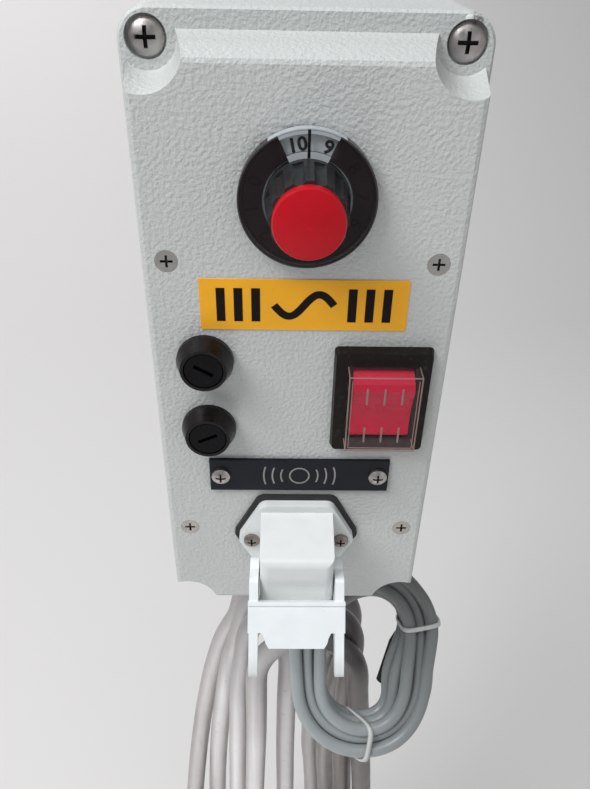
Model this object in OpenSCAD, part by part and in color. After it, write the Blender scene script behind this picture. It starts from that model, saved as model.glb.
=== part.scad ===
// Speed controller for a vibratory feeder, in a diecast box that is screwed to a post or wall.
// Millimetres. +Z up, the front looks along -Y, +X to the right seen from the front.
// The origin is the centre of the mounting pattern on the back face.

/* [Enclosure] */
// Width of the box
box_w = 80; // [76:1:100]
// Height of the box
box_h = 175; // [172:1:200]
// Depth of the box, back face to front panel
box_d = 57; // [56:1:70]
// Thickness of the walls and the back
wall = 3; // [2.5:0.1:3.2]
// Radius of the box's upright corners
corner_r = 7; // [4:0.5:8]
// Depth of the lid, joint to front panel
lid_d = 20; // [19:0.5:22]
// How far the front panel stands above the lid's rim
plateau_step = 12; // [10:0.5:12.5]
// Thickness of the front panel
panel_t = 3; // [2.5:0.1:3.5]
// Width of the rim beside the raised panel
side_ledge = 1.5; // [1:0.1:2]
// Width of the rim above and below the raised panel
end_ledge = 4.2; // [3.5:0.1:5]
// Lean of the panel's long sides
side_lean = 1; // [0.5:0.1:1.5]
// Lean of the panel's end slopes
end_lean = 3.3; // [2:0.1:4]
// Radius of the scallops round the lid screws at the rim
scallop_r = 6.5; // [5.5:0.1:7]
// How much the scallops widen up to the panel
scallop_flare = 2.5; // [1.5:0.1:3]

/* [Fixings] */
// Inset of the lid screws from the box's sides
lid_screw_inset_x = 6.1; // [5.6:0.1:6.8]
// Inset of the lid screws from the box's ends
lid_screw_inset_z = 6; // [5.6:0.1:6.6]
// Inset of the mounting holes from the box's sides
mount_inset_x = 14; // [13.5:0.5:14.5]
// Inset of the mounting holes from the box's ends
mount_inset_z = 6; // [5.6:0.1:6.4]
// Diameter of the mounting holes
mount_hole_d = 4.8; // [4.2:0.1:5.4]
// Inset of the countersunk panel screws from the box's sides
panel_screw_inset = 8.4; // [8.2:0.1:9.4]
// Height of the upper panel screws
panel_screw_top = 36.5; // [30:0.5:42]
// Height of the lower panel screws
panel_screw_bottom = -48.5; // [-52:0.5:-44]
// Free depth between the panel and the circuit board
board_gap = 34; // [33:0.5:36]

/* [Speed dial] */
// Place of the dial across the panel
dial_x = 0.5; // [-5:0.5:5]
// Height of the dial
dial_z = 52; // [48:0.5:53]
// Diameter of the dial cover
dial_d = 30.5; // [28:0.5:32]
// Height of the dial cover
dial_h = 3.4; // [3.2:0.1:4]
// Diameter of the knob at its foot
knob_d = 18.8; // [17.6:0.2:20]
// Diameter of the knob at its head
knob_head_d = 16.6; // [16:0.2:17]
// Height of the knob with its cap
knob_h = 18; // [17:0.5:20]
// Diameter of the red cap
cap_d = 15.2; // [13:0.2:15.4]
// Number of flutes round the knob
flutes = 12; // [10:1:14]
// Half the angle of the clear window
window_half = 25.5; // [20:0.5:30]
// Diameter of the potentiometer's shaft
shaft_d = 6; // [5:0.1:6.4]

/* [Fuse holders] */
// Inset of the fuse holders from the box's left side
fuse_inset = 16; // [15:0.5:20]
// Height of the upper fuse holder
fuse_top_z = 10; // [8:0.5:10]
// Height of the lower fuse holder
fuse_bottom_z = -11; // [-12:0.5:-9]
// Diameter of a fuse holder's flange
fuse_flange_d = 14.4; // [13.8:0.2:16]
// How far a fuse holder stands out
fuse_h = 5.6; // [4.5:0.1:7]
// Diameter of a fuse cap
fuse_cap_d = 9.4; // [9:0.1:9.8]
// Depth of a fuse holder behind the panel
fuse_depth = 29; // [27:0.5:30]

/* [Rocker switch] */
// Inset of the switch from the box's right side
switch_inset = 19; // [19:0.5:20]
// Height of the switch
switch_z = -1.4; // [-3:0.2:0]
// Width of the switch's bezel
bezel_w = 25; // [24:0.5:26]
// Height of the switch's bezel
bezel_h = 31.6; // [30:0.2:33]
// Thickness of the bezel
bezel_t = 2.5; // [2:0.1:3]
// Depth of the switch behind the panel
switch_depth = 20; // [16:0.5:21]
// Width of the rocker
rocker_w = 15.4; // [13:0.2:16]
// Length of the rocker
rocker_l = 20; // [18:0.2:21]
// Tilt of the rocker either side of level
rocker_tilt = 10; // [6:0.5:10]
// How far the splash cover stands above the bezel
splash_h = 5.2; // [5.1:0.1:6]

/* [Plates] */
// Width of the yellow label
label_w = 50; // [40:1:54]
// Height of the yellow label
label_h = 13.4; // [10:0.2:14]
// Height of the label's centre on the panel
label_z = 25.7; // [25:0.1:27]
// Width of the black plate
plate_w = 50.2; // [49:0.2:54]
// Height of the black plate
plate_h = 10.9; // [9:0.1:11]
// Height of the plate's centre on the panel
plate_z = -27.3; // [-28:0.1:-26.6]
// Thickness of the black plate
plate_t = 1; // [0.6:0.1:1.6]
// Spacing of the plate's screws
plate_screw_x = 44; // [42:0.5:45]

/* [Output socket] */
// Height of the socket's flange centre
socket_z = -49.5; // [-50:0.5:-49]
// Width of the socket's flange beside its housing
flange_side = 6.9; // [6.4:0.1:7.6]
// Height of the socket's flange
flange_h = 26; // [25:0.2:28]
// Thickness of the socket's flange
flange_t = 2.8; // [2:0.1:3]
// Thickness of the gasket under the flange
gasket_t = 1.2; // [0.8:0.1:1.6]
// Margin of the gasket round the flange
gasket_rim = 1.4; // [1:0.1:1.8]
// Distance of the flange screws from the housing's sides
flange_screw_side = 2.8; // [2.6:0.1:3]
// Width of the socket's housing
housing_w = 20.6; // [20:0.2:21]
// How far the housing stands out from the panel
housing_out = 19.5; // [19:0.1:19.6]
// Depth of the housing's mouth below the flange centre
mouth_drop = 12.5; // [12:0.1:12.8]
// Thickness of the housing's walls
housing_wall = 1.7; // [1.5:0.1:2]
// Thickness of the lever's arms
arm_t = 2.5; // [2:0.1:3]
// Tilt of the lever from upright, as it stands
lever_tilt = 38; // [30:1:45]

/* [Cables] */
// Diameter of the supply cable
supply_d = 8.8; // [7:0.1:9]
// Diameter of the sensor cable
sensor_d = 4.7; // [4:0.1:5]
// Place of the supply cable's gland, left of the middle
supply_gland_x = 10.5; // [10:0.1:10.6]
// Place of the sensor cable's gland, right of the middle
sensor_gland_x = 12.5; // [11:0.1:13]
// Distance of the supply gland from the back
supply_gland_back = 22; // [18:0.5:22]
// Distance of the sensor gland from the back
sensor_gland_back = 17; // [16:0.5:20]

/* [Hidden] */
$fn = 48;
over = 1;             // how far a cut runs past the face it opens
run_gap = 0.05;       // radial clearance of a running fit
ease = 0.3;           // clearance beside curved faces of different bodies
bolt_gap = 0.1;       // radial clearance round a screw's shank

// Colours
PAINT = [0.80, 0.81, 0.79];
STEEL = [0.72, 0.72, 0.70];
BLACK = [0.10, 0.10, 0.10];
RED = [0.75, 0.08, 0.13];
WHITE = [0.92, 0.93, 0.93];
YELLOW = [0.96, 0.69, 0.10];
CABLE = [0.75, 0.72, 0.71];
THIN_CABLE = [0.59, 0.61, 0.61];

// ---------------------------------------------------------------- shared shapes and places

// From panel places to the row: x right, y up, z out of the front panel
module on_front() translate([0, -box_d, 0]) rotate([90, 0, 0]) children();

module at_panel(x, z) on_front() translate([x, z, 0]) children();

// An outline in Y and Z, carried along X by w and centred on it
module along_x(w) rotate([90, 0, 90]) translate([0, 0, -w / 2]) linear_extrude(w) children();

module rounded_rect(w, h, r) {
    square([w - 2 * r, h], center = true);
    square([w, h - 2 * r], center = true);
    for (sx = [-1, 1], sy = [-1, 1])
        translate([sx * (w / 2 - r), sy * (h / 2 - r)]) circle(r);
}

module at_corners(w, h) {
    for (sx = [-1, 1], sy = [-1, 1]) translate([sx * w / 2, sy * h / 2]) children();
}

// A slab between two rounded rectangles of different size
module frustum(size_a, size_b, r_a, r_b, z_a, z_b) {
    thin = 0.01;
    hull() {
        translate([0, 0, z_a]) linear_extrude(thin) rounded_rect(size_a[0], size_a[1], r_a);
        translate([0, 0, z_b - thin]) linear_extrude(thin) rounded_rect(size_b[0], size_b[1], r_b);
    }
}

module tube(h, r_out, r_in) {
    difference() {
        cylinder(h = h, r = r_out);
        translate([0, 0, -over]) cylinder(h = h + 2 * over, r = r_in);
    }
}

// A six-sided bar with the given width across its flats
module hex_bar(flats, h) cylinder(h = h, d = flats / cos(30), $fn = 6);

// The cross in a screw's head, cut down from z = 0
module cross_recess(size, depth) {
    for (turn = [0, 90]) rotate(turn)
        translate([-size / 2, -size / 10, -depth]) cube([size, size / 5, depth + over]);
}

// A screw with a domed head on z = 0 and its shank going down
module pan_screw(head_d, head_h, shank_d, shank_l) {
    difference() {
        intersection() {
            cylinder(h = head_h, d = head_d);
            translate([0, 0, head_h - head_d * 0.8]) sphere(r = head_d * 0.8);
        }
        translate([0, 0, head_h]) cross_recess(head_d * 0.56, head_h * 0.5);
    }
    translate([0, 0, -shank_l]) cylinder(h = shank_l + 0.01, d = shank_d);
}

// Points of a convex outline with each corner rounded by r, counter-clockwise
function unit(v) = v / norm(v);
function corner_arc(a, b, c, r, steps) =
    let (u = unit(a - b), w = unit(c - b),
         half = acos(max(-1, min(1, u * w))) / 2,
         mid = b + unit(u + w) * r / sin(half),
         from = b + u * r / tan(half) - mid,
         sweep = 180 - 2 * half)
    [for (i = [0:steps])
        let (t = sweep * i / steps)
        mid + [from[0] * cos(t) - from[1] * sin(t), from[0] * sin(t) + from[1] * cos(t)]];
function rounded(points, r, steps = 5) =
    let (n = len(points))
    [for (i = [0:n - 1])
        each corner_arc(points[(i + n - 1) % n], points[i], points[(i + 1) % n], r, steps)];

// ---------------------------------------------------------------- enclosure

base_d = box_d - lid_d;
lid_screw_x = box_w - 2 * lid_screw_inset_x;
lid_screw_z = box_h - 2 * lid_screw_inset_z;
mount_x = box_w - 2 * mount_inset_x;
mount_z = box_h - 2 * mount_inset_z;
panel_screw_x = box_w - 2 * panel_screw_inset;
fuse_x = fuse_inset - box_w / 2;
switch_x = box_w / 2 - switch_inset;
flange_w = housing_w + 2 * flange_side;
flange_screw_x = housing_w + 2 * flange_screw_side;
panel_cut = 20;                      // length of a cut through the panel, about its face
post_w = 19.5;                       // reach of a corner post from the box's side
screw_depth = box_d - plateau_step;
post_x = box_w / 2 - post_w;         // inner side of a corner post, from the middle
post_z = 11;                         // height of a corner post from the box's end
rim_t = 1.1;                         // metal left outside the seal's groove
seal_w = 1.4;
seal_h = 1;
seal_stand = 0.2;                    // clearance over the seal in its groove
cavity_w = box_w - 2 * wall;
cavity_h = box_h - 2 * wall;
lid_cavity_w = box_w - 2 * (side_ledge + side_lean) - 2 * wall + 0.5;
lid_cavity_h = box_h - 2 * (end_ledge + end_lean) - 2 * wall;
plateau_r = 2;
lid_head_d = 7.8;
lid_head_h = 2.4;
lid_recess = 2;
tap_d = 4;
tap_depth = 10;                      // how far a lid screw reaches into its post

// The inside outline of both halves: a rectangle less its four corner posts, grown by g
module cavity_outline(g) {
    difference() {
        square([cavity_w + 2 * g, cavity_h + 2 * g], center = true);
        for (sx = [-1, 1], sy = [-1, 1])
            translate([sx * box_w / 2, sy * box_h / 2])
                square([2 * (box_w / 2 - post_x - g), 2 * (post_z - g)], center = true);
    }
}

module seal_outline(slack) {
    difference() {
        cavity_outline(wall - rim_t + slack);
        cavity_outline(wall - rim_t - seal_w - slack);
    }
}

module base_box() color(PAINT) {
    difference() {
        on_front() translate([0, 0, -box_d]) difference() {
            linear_extrude(base_d) rounded_rect(box_w, box_h, corner_r);
            translate([0, 0, wall]) linear_extrude(base_d) cavity_outline(0);
            at_corners(lid_screw_x, lid_screw_z) translate([0, 0, base_d - 14])
                cylinder(h = 15, d = tap_d + 2 * bolt_gap);
            at_corners(mount_x, mount_z) translate([0, 0, -over])
                cylinder(h = base_d + 2 * over, d = mount_hole_d);
            at_corners(mount_x, mount_z) translate([0, 0, wall + 3])
                cylinder(h = base_d, d = mount_hole_d + 4.2);
        }
        for (g = [[supply_gland_at, supply_gland_d], [sensor_gland_at, sensor_gland_d]])
            translate([g[0][0], g[0][1], floor_z - over])
                cylinder(h = wall + 2 * over, d = g[1] + 2 * bolt_gap);
    }
}

module plateau() {
    foot = [box_w - 2 * side_ledge, box_h - 2 * end_ledge];
    head = foot - 2 * [side_lean, end_lean];
    soft = 0.45;
    frustum(foot, head, plateau_r, plateau_r, -plateau_step - 0.5, -1.3);
    frustum(head, head - 2 * [soft, soft], plateau_r, plateau_r, -1.31, -0.35);
    frustum(head - 2 * [soft, soft], head - 2 * [3 * soft, 3 * soft],
            plateau_r, plateau_r - soft, -0.36, 0);
}

module panel_cutouts() {
    translate([dial_x, dial_z]) cylinder(h = panel_cut, d = pot_bush_d + 2 * ease, center = true);
    for (z = [fuse_top_z, fuse_bottom_z])
        translate([fuse_x, z]) cylinder(h = panel_cut, d = fuse_thread_d + 2 * ease, center = true);
    translate([switch_x, switch_z, 0])
        cube([switch_w + 2 * ease, switch_l + 2 * ease, panel_cut], center = true);
    translate([0, socket_z]) cylinder(h = panel_cut, d = socket_hole_d, center = true);
    for (s = [-1, 1]) {
        translate([s * flange_screw_x / 2, socket_z])
            cylinder(h = panel_cut, d = small_screw_d + 2 * bolt_gap, center = true);
        translate([dial_x + s * plate_screw_x / 2, plate_z])
            cylinder(h = panel_cut, d = small_screw_d + 2 * bolt_gap, center = true);
    }
    at_panel_screws() {
        cylinder(h = panel_cut, d = small_screw_d + 2 * bolt_gap, center = true);
        translate([0, 0, -sink_h]) cylinder(h = sink_h, d1 = small_screw_d + 2 * bolt_gap, d2 = sink_d + 0.1);
    }
}

module lid() color(PAINT) on_front() difference() {
    union() {
        translate([0, 0, -lid_d]) linear_extrude(lid_d - plateau_step - 0.8)
            rounded_rect(box_w, box_h, corner_r);
        frustum([box_w, box_h], [box_w - 1.2, box_h - 1.2], corner_r, corner_r - 0.6,
                -plateau_step - 0.81, -plateau_step);
        plateau();
    }
    at_corners(lid_screw_x, lid_screw_z) {
        translate([0, 0, -plateau_step])
            cylinder(h = plateau_step + over, r1 = scallop_r,
                     r2 = scallop_r + scallop_flare * (plateau_step + over) / plateau_step);
        translate([0, 0, -plateau_step - lid_recess]) cylinder(h = 5, d = lid_head_d + 1.2);
        translate([0, 0, -lid_d - over]) cylinder(h = lid_d, d = tap_d + 2 * bolt_gap);
    }
    translate([0, 0, -lid_d - over]) linear_extrude(lid_d - plateau_step + over - wall)
        cavity_outline(0);
    translate([0, 0, -lid_d - over]) linear_extrude(seal_h + seal_stand + over)
        seal_outline(0.1);
    translate([0, 0, -lid_d - over]) linear_extrude(lid_d + over - panel_t) {
        square([lid_cavity_w, lid_cavity_h - 15], center = true);
        square([2 * post_x, lid_cavity_h], center = true);
    }
    panel_cutouts();
}

module lid_seal() color([0.2, 0.2, 0.2])
    on_front() translate([0, 0, -lid_d]) linear_extrude(seal_h) seal_outline(0);

module lid_screws() color(STEEL)
    on_front() at_corners(lid_screw_x, lid_screw_z)
        translate([0, 0, -plateau_step - lid_recess])
            pan_screw(lid_head_d, lid_head_h, tap_d, lid_d - plateau_step - lid_recess + tap_depth);

// ---------------------------------------------------------------- circuit board and its fixings

small_screw_d = 3;
sink_d = 5.4;
sink_h = 1.5;
spacer_flats = 5.5;
panel_screw_l = 12;
board_screw_l = 7;
board_head_d = 5.6;
board_head_h = 2;
board_t = 1.6;
board_edge = 6.5;                    // board left outside its screws, up and down
board_w = lid_cavity_w - 1.6;
board_top = panel_screw_top + board_edge;
board_bottom = panel_screw_bottom - board_edge;
board_z = -panel_t - board_gap;      // front face of the board, behind the panel
board_back = board_z - board_t;

module at_panel_screws() {
    for (s = [-1, 1], z = [panel_screw_top, panel_screw_bottom])
        translate([s * panel_screw_x / 2, z]) children();
}

module panel_screws() color(STEEL) on_front() at_panel_screws() {
    difference() {
        translate([0, 0, -sink_h]) cylinder(h = sink_h, d1 = small_screw_d, d2 = sink_d);
        cross_recess(sink_d * 0.55, 0.9);
    }
    translate([0, 0, -panel_screw_l])
        cylinder(h = panel_screw_l - sink_h + 0.01, d = small_screw_d);
}

module board_spacers() color([0.75, 0.66, 0.36]) on_front() at_panel_screws()
    translate([0, 0, board_z]) difference() {
        rotate(30) hex_bar(spacer_flats, board_gap);
        translate([0, 0, -over]) cylinder(h = board_gap + 2 * over, d = small_screw_d + 2 * bolt_gap);
    }

module circuit_board() color([0.10, 0.35, 0.20]) on_front() difference() {
    translate([-board_w / 2, board_bottom, board_back])
        cube([board_w, board_top - board_bottom, board_t]);
    at_panel_screws() translate([0, 0, board_back - over])
        cylinder(h = board_t + 2 * over, d = small_screw_d + 2 * bolt_gap);
}

module board_screws() color(STEEL) on_front() at_panel_screws()
    translate([0, 0, board_back]) rotate([180, 0, 0]) 
        pan_screw(board_head_d, board_head_h, small_screw_d, board_screw_l);

heat_y = -8;                         // height of the heat sink's middle
heat_w = 44;
heat_h = 28;
heat_plate_t = 2.6;
heat_post_l = 5;                     // the sink stands off the board's back
heat_post_d = 4;
heat_clear = 1.4;                    // left between the fins and the back wall
fin_t = 1.4;
fin_count = 7;
fin_l = box_d - wall + board_back - heat_post_l - heat_plate_t - heat_clear;

module heat_sink() color([0.6, 0.6, 0.62]) on_front()
    translate([0, heat_y, board_back - heat_post_l]) {
        translate([0, 0, -heat_plate_t / 2]) cube([heat_w, heat_h, heat_plate_t], center = true);
        for (i = [0:fin_count - 1])
            translate([-heat_w / 2 + i * (heat_w - fin_t) / (fin_count - 1), -heat_h / 2,
                       -heat_plate_t - fin_l])
                cube([fin_t, heat_h, fin_l + 0.01]);
        for (s = [-1, 1]) translate([s * (heat_w / 2 - heat_post_d), 0, 0])
            cylinder(h = heat_post_l, d = heat_post_d);
    }

leg_pitch = 2.54;
leg_t = 0.8;
triac_size = [10, 15, 4.4];
leg_out = 4.5;                       // how far its legs reach below the body

module triac() color(BLACK) on_front() translate([0, heat_y, board_back - heat_post_l]) {
    translate([-triac_size[0] / 2, -triac_size[1] / 2, 0]) cube(triac_size);
    for (i = [-1:1]) translate([i * leg_pitch - leg_t / 2, -triac_size[1] / 2 - leg_out, 2]) {
        cube([leg_t, leg_out + 1, 0.6]);
        cube([leg_t, leg_t, heat_post_l - 2]);
    }
}

capacitor_size = [26, 10, 16];

module filter_capacitor() color([0.85, 0.75, 0.20]) on_front()
    translate([-14, 23, board_z]) cube(capacitor_size);

choke_r = 10;

module choke() color([0.65, 0.35, 0.15]) on_front()
    translate([-1, -14, board_z]) tube(choke_r, choke_r, choke_r * 0.45);

pole_count = 10;
block_gap = 5.6;                     // from the block's ends to the spacers' middles
pole_pitch = (panel_screw_x - 2 * block_gap) / pole_count;
block_h = 9;
block_deep = 12;

module terminal_block() color([0.15, 0.45, 0.25]) on_front()
    translate([-pole_count * pole_pitch / 2, board_bottom + 1, board_z]) difference() {
        cube([pole_count * pole_pitch, block_h, block_deep]);
        for (i = [0:pole_count - 1]) translate([(i + 0.5) * pole_pitch, block_h / 2, block_deep])
            cylinder(h = block_h / 2, d = pole_pitch * 0.65, center = true);
    }

// ---------------------------------------------------------------- speed dial

pot_bush_d = 9.5;
pot_d = 17;
pot_body_l = 9;
nut_t = 1.8;
dial_base_t = 0.6;
cover_t = 0.8;
scale_t = 0.5;
scale_z = 1.5;
knob_foot_z = scale_z + scale_t;
knob_top_z = knob_h - 3.2;
cover_hole_r = knob_d / 2 + 0.4;
scale_hole_r = 7.6;

// A flat sector of a disc, symmetrical about straight up
module sector(r, half) {
    intersection() {
        circle(r);
        polygon([[0, 0], 2 * r * [-tan(half), 1], 2 * r * [tan(half), 1]]);
    }
}

module dial_base() color(BLACK) at_panel(dial_x, dial_z)
    tube(dial_base_t, dial_d / 2 - cover_t - 0.2, pot_bush_d / 2 + 0.1);

module dial_cover() color([0.17, 0.15, 0.15]) at_panel(dial_x, dial_z) {
    tube(dial_h, dial_d / 2, dial_d / 2 - cover_t);
    difference() {
        translate([0, 0, dial_h - cover_t])
            tube(cover_t, dial_d / 2 - cover_t + 0.01, cover_hole_r);
        linear_extrude(dial_h + over) difference() {
            sector(dial_d / 2 - cover_t, window_half);
            circle(cover_hole_r + 0.9);
        }
    }
}

module dial_window() color([0.8, 0.85, 0.88, 0.4]) at_panel(dial_x, dial_z)
    translate([0, 0, dial_h - cover_t]) linear_extrude(cover_t) difference() {
        sector(dial_d / 2 - cover_t, window_half);
        circle(cover_hole_r + 0.9);
    }

module scale_disc() color([0.66, 0.68, 0.70]) at_panel(dial_x, dial_z)
    translate([0, 0, scale_z]) tube(scale_t, dial_d / 2 - cover_t - 0.5, scale_hole_r);

module knob_body() color(BLACK) at_panel(dial_x, dial_z) difference() {
    translate([0, 0, knob_foot_z])
        cylinder(h = knob_top_z - knob_foot_z, d1 = knob_d, d2 = knob_head_d);
    for (i = [0:flutes - 1]) rotate(i * 360 / flutes + 180 / flutes)
        translate([knob_d / 2 + 0.75, 0, dial_h + 1.2])
            rotate([0, -atan((knob_d - knob_head_d) / 2 / (knob_top_z - knob_foot_z)), 0])
                cylinder(h = knob_h, r = 1.7, $fn = 24);
    translate([0, 0, knob_foot_z - over]) cylinder(h = nut_t + over, r = 7);
    translate([0, 0, 0]) cylinder(h = knob_top_z - 2, d = shaft_d + 2 * run_gap);
}

module knob_cap() color(RED) at_panel(dial_x, dial_z) intersection() {
    translate([0, 0, knob_top_z]) cylinder(h = knob_h - knob_top_z, d = cap_d);
    translate([0, 0, knob_h - 2.2 * cap_d]) sphere(r = 2.2 * cap_d, $fn = 96);
    translate([0, 0, knob_top_z - 1]) cylinder(h = knob_h - knob_top_z + 1, d1 = cap_d + 3, d2 = cap_d - 1.4);
}

module pot_shaft() color(STEEL) at_panel(dial_x, dial_z)
    translate([0, 0, -panel_t - 1]) cylinder(h = panel_t + 1 + knob_top_z - 3, d = shaft_d);

module pot_body() color([0.5, 0.5, 0.5]) at_panel(dial_x, dial_z) difference() {
    union() {
        translate([0, 0, -panel_t - pot_body_l]) cylinder(h = pot_body_l, d = pot_d);
        translate([0, 0, -panel_t - 0.01]) cylinder(h = panel_t + dial_base_t + nut_t, d = pot_bush_d);
    }
    translate([0, 0, -panel_t - 1.2]) cylinder(h = 20, d = shaft_d + 2 * run_gap);
    // a slot for the wiper, open under the shaft
    translate([0, 0, -panel_t - pot_body_l + 1.5]) cylinder(h = 3, d = pot_d - 3);
}

module pot_nut() color(STEEL) at_panel(dial_x, dial_z) translate([0, 0, dial_base_t])
    difference() {
        hex_bar(11, nut_t - 0.3);
        translate([0, 0, -over]) cylinder(h = 5, d = pot_bush_d + 0.02);
    }

// ---------------------------------------------------------------- fuse holders

fuse_thread_d = 12.4;
fuse_nut_flats = 16;
fuse_nut_h = 3;
fuse_bore_d = 10;
fuse_carrier_d = 7.4;
fuse_d = 5;
fuse_l = 20;
slot_w = 1;
slot_l = 5.4;
carrier_l = 20;

module fuse_holder(z) color(BLACK) at_panel(fuse_x, z) {
    difference() {
        union() {
            cylinder(h = 1.4, d = fuse_flange_d);
            translate([0, 0, 1.39]) cylinder(h = fuse_h - 1.39, d1 = fuse_flange_d, d2 = fuse_flange_d - 2.8);
            translate([0, 0, -16]) cylinder(h = 16.01, d = fuse_thread_d);
            translate([0, 0, -fuse_depth]) cylinder(h = fuse_depth, d = fuse_thread_d - 1.6);
        }
        translate([0, 0, fuse_h - 3]) cylinder(h = 5, d = fuse_bore_d);
        translate([0, 0, -fuse_depth + 2]) cylinder(h = fuse_depth + 4, d = fuse_carrier_d + 2 * run_gap);
    }
    // end contact and side contact
    translate([-3.1, -0.4, -fuse_depth - 6]) cube([6.2, 0.8, 6.01]);
    translate([-0.4, fuse_thread_d / 2 - 1.2, -24]) cube([0.8, 6, 4.8]);
}
module fuse_holder_upper() fuse_holder(fuse_top_z);
module fuse_holder_lower() fuse_holder(fuse_bottom_z);

module fuse_nuts() color(BLACK)
    for (z = [fuse_top_z, fuse_bottom_z]) at_panel(fuse_x, z)
        translate([0, 0, -panel_t - fuse_nut_h]) difference() {
            hex_bar(fuse_nut_flats, fuse_nut_h);
            translate([0, 0, -over]) cylinder(h = 5, d = fuse_thread_d + 0.04);
        }

module fuse_cap(z, slot_turn) color([0.08, 0.08, 0.08]) at_panel(fuse_x, z) difference() {
    union() {
        translate([0, 0, fuse_h - 2.6]) cylinder(h = 2.4, d = fuse_cap_d);
        translate([0, 0, fuse_h - 2.6 - carrier_l]) cylinder(h = carrier_l + 0.01, d = fuse_carrier_d);
    }
    rotate(slot_turn) translate([-slot_l / 2, -slot_w / 2, fuse_h - 1.2]) cube([slot_l, slot_w, 3]);
    translate([0, 0, -30]) cylinder(h = 30 + fuse_h - 4.6, d = fuse_d + 0.3);
}
module fuse_cap_upper() fuse_cap(fuse_top_z, -30);
module fuse_cap_lower() fuse_cap(fuse_bottom_z, 24);

module fuse_link(z) at_panel(fuse_x, z) translate([0, 0, fuse_h - 4.6 - fuse_l]) {
    color([0.8, 0.85, 0.9, 0.4]) translate([0, 0, 4.9]) cylinder(h = fuse_l - 9.8, d = fuse_d - 0.3);
    color(STEEL) for (end = [0, fuse_l - 5]) translate([0, 0, end]) cylinder(h = 5, d = fuse_d);
}
module fuse_upper() fuse_link(fuse_top_z);
module fuse_lower() fuse_link(fuse_bottom_z);

// ---------------------------------------------------------------- rocker switch

switch_w = 22;
switch_l = 27;
pivot_in = 3;                        // rocker pivot below the bezel's face
pivot_r = 1.2;
rocker_rise = 6;                     // rocker ends above the pivot
rocker_dip = 4.7;                    // rocker middle above the pivot
pocket_d = 8.6;
splash_w = rocker_w + 3;
splash_l = rocker_l + 3;
splash_t = 0.7;

module at_pivot() at_panel(switch_x, switch_z) translate([0, 0, bezel_t - pivot_in]) children();

module switch_body() color(BLACK) difference() {
    at_panel(switch_x, switch_z) difference() {
        union() {
            frustum([bezel_w, bezel_h], [bezel_w - 0.8, bezel_h - 1.6], 1.2, 1.2, 0, bezel_t);
            translate([0, 0, -switch_depth / 2 + 0.01])
                cube([switch_w, switch_l, switch_depth], center = true);
            for (s = [-1, 1]) translate([s * (switch_w / 2), 0, -panel_t - 1.5])
                cube([0.9, 8, 2], center = true);
        }
        translate([0, 0, bezel_t - pocket_d / 2 + over / 2])
            cube([rocker_w + 0.8, rocker_l + 2.2, pocket_d + over], center = true);
    }
    at_pivot() rotate([0, 90, 0])
        cylinder(h = rocker_w + 4.4, r = pivot_r + run_gap, center = true);
}

module switch_terminals() color(STEEL) at_panel(switch_x, switch_z)
    for (sx = [-1, 1], y = [-9, 0, 9])
        translate([sx * 5 - 0.4, y - 3.15, -switch_depth - 8]) cube([0.8, 6.3, 8.005]);

module rocker() color(RED) {
    half = rocker_l / 2;
    at_pivot() rotate([0, 90, 0]) cylinder(h = rocker_w + 3.6, r = pivot_r, center = true);
    at_pivot() rotate([rocker_tilt, 0, 0]) rotate([-90, 0, 0]) translate([0, 0, 0])
        along_x(rocker_w) polygon([
            [2.6, -half], [2.6, half],
            [-1.6, half], [-4.9, half - 0.9], [-rocker_rise, half - 2.6],
            for (i = [1:5])
                let (t = i / 6)
                [-rocker_dip - (rocker_rise - rocker_dip) * pow(2 * t - 1, 2), (half - 2.6) * (1 - 2 * t)],
            [-rocker_rise, -half + 2.6], [-4.9, -half + 0.9], [-1.6, -half],
        ]);
}

module splash_cover() color([0.9, 0.85, 0.85, 0.35]) at_panel(switch_x, switch_z)
    translate([0, 0, bezel_t]) {
        difference() {
            linear_extrude(splash_h) rounded_rect(splash_w, splash_l, 0.8);
            translate([0, 0, -over]) linear_extrude(splash_h - splash_t + over)
                square([splash_w - 2 * splash_t, splash_l - 2 * splash_t], center = true);
        }
        for (x = [-4.4, 0, 4.4], y = [-5.9, 5.9])
            translate([x - 0.25, y - 2.4, splash_h - 0.01]) cube([0.5, 4.8, 0.35]);
    }

// ---------------------------------------------------------------- label and plate

label_t = 0.25;

module voltage_label() color(YELLOW) at_panel(dial_x, label_z)
    translate([0, 0, label_t / 2]) cube([label_w, label_h, label_t], center = true);

module name_plate() color([0.09, 0.09, 0.12]) at_panel(dial_x, plate_z) difference() {
    translate([0, 0, plate_t / 2]) cube([plate_w, plate_h, plate_t], center = true);
    for (s = [-1, 1]) translate([s * plate_screw_x / 2, 0, -over])
        cylinder(h = plate_t + 2 * over, d = small_screw_d + 2 * bolt_gap);
}

module plate_screws() color(STEEL) for (s = [-1, 1])
    at_panel(dial_x + s * plate_screw_x / 2, plate_z) translate([0, 0, plate_t])
        pan_screw(5.1, 1.7, small_screw_d, plate_t + panel_t + 2);

// ---------------------------------------------------------------- output socket

socket_hole_d = 20.5;
socket_flat = 10.2;                  // half the flange's straight top
flange_z = gasket_t + flange_t;
mouth_z = -mouth_drop;               // from the flange centre
roof_z = flange_h / 2 - 2.2;
roof_drop = 4.2;
roof_r = 2.5;
pocket_back = 5;
insert_l = 10;
mouth_free = 5.5;
pivot_out = 12;
pivot_z = -4.5;
peg_r = 1.6;
peg_l = arm_t + 0.3;
arm_gap = 0.4;
lever_w = housing_w + 2 * (arm_gap + arm_t);
bar_t = 1.8;
bar_out = 8.6;                       // outer face of the lever's bar, from the pivot
bar_top = 6.85;                      // upper edge of the bar below the pivot, lever upright
bar_h = 8.6;
lip_h = 4.2;
arm_top = 0.95;
arm_end = 27.6;

module six_corner(grow) {
    w = flange_w / 2 + grow;
    h = flange_h / 2 + grow;
    f = socket_flat + grow * 0.6;
    polygon(rounded([[w, 0], [f, h], [-f, h], [-w, 0], [-f, -h], [f, -h]], 3));
}

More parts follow.
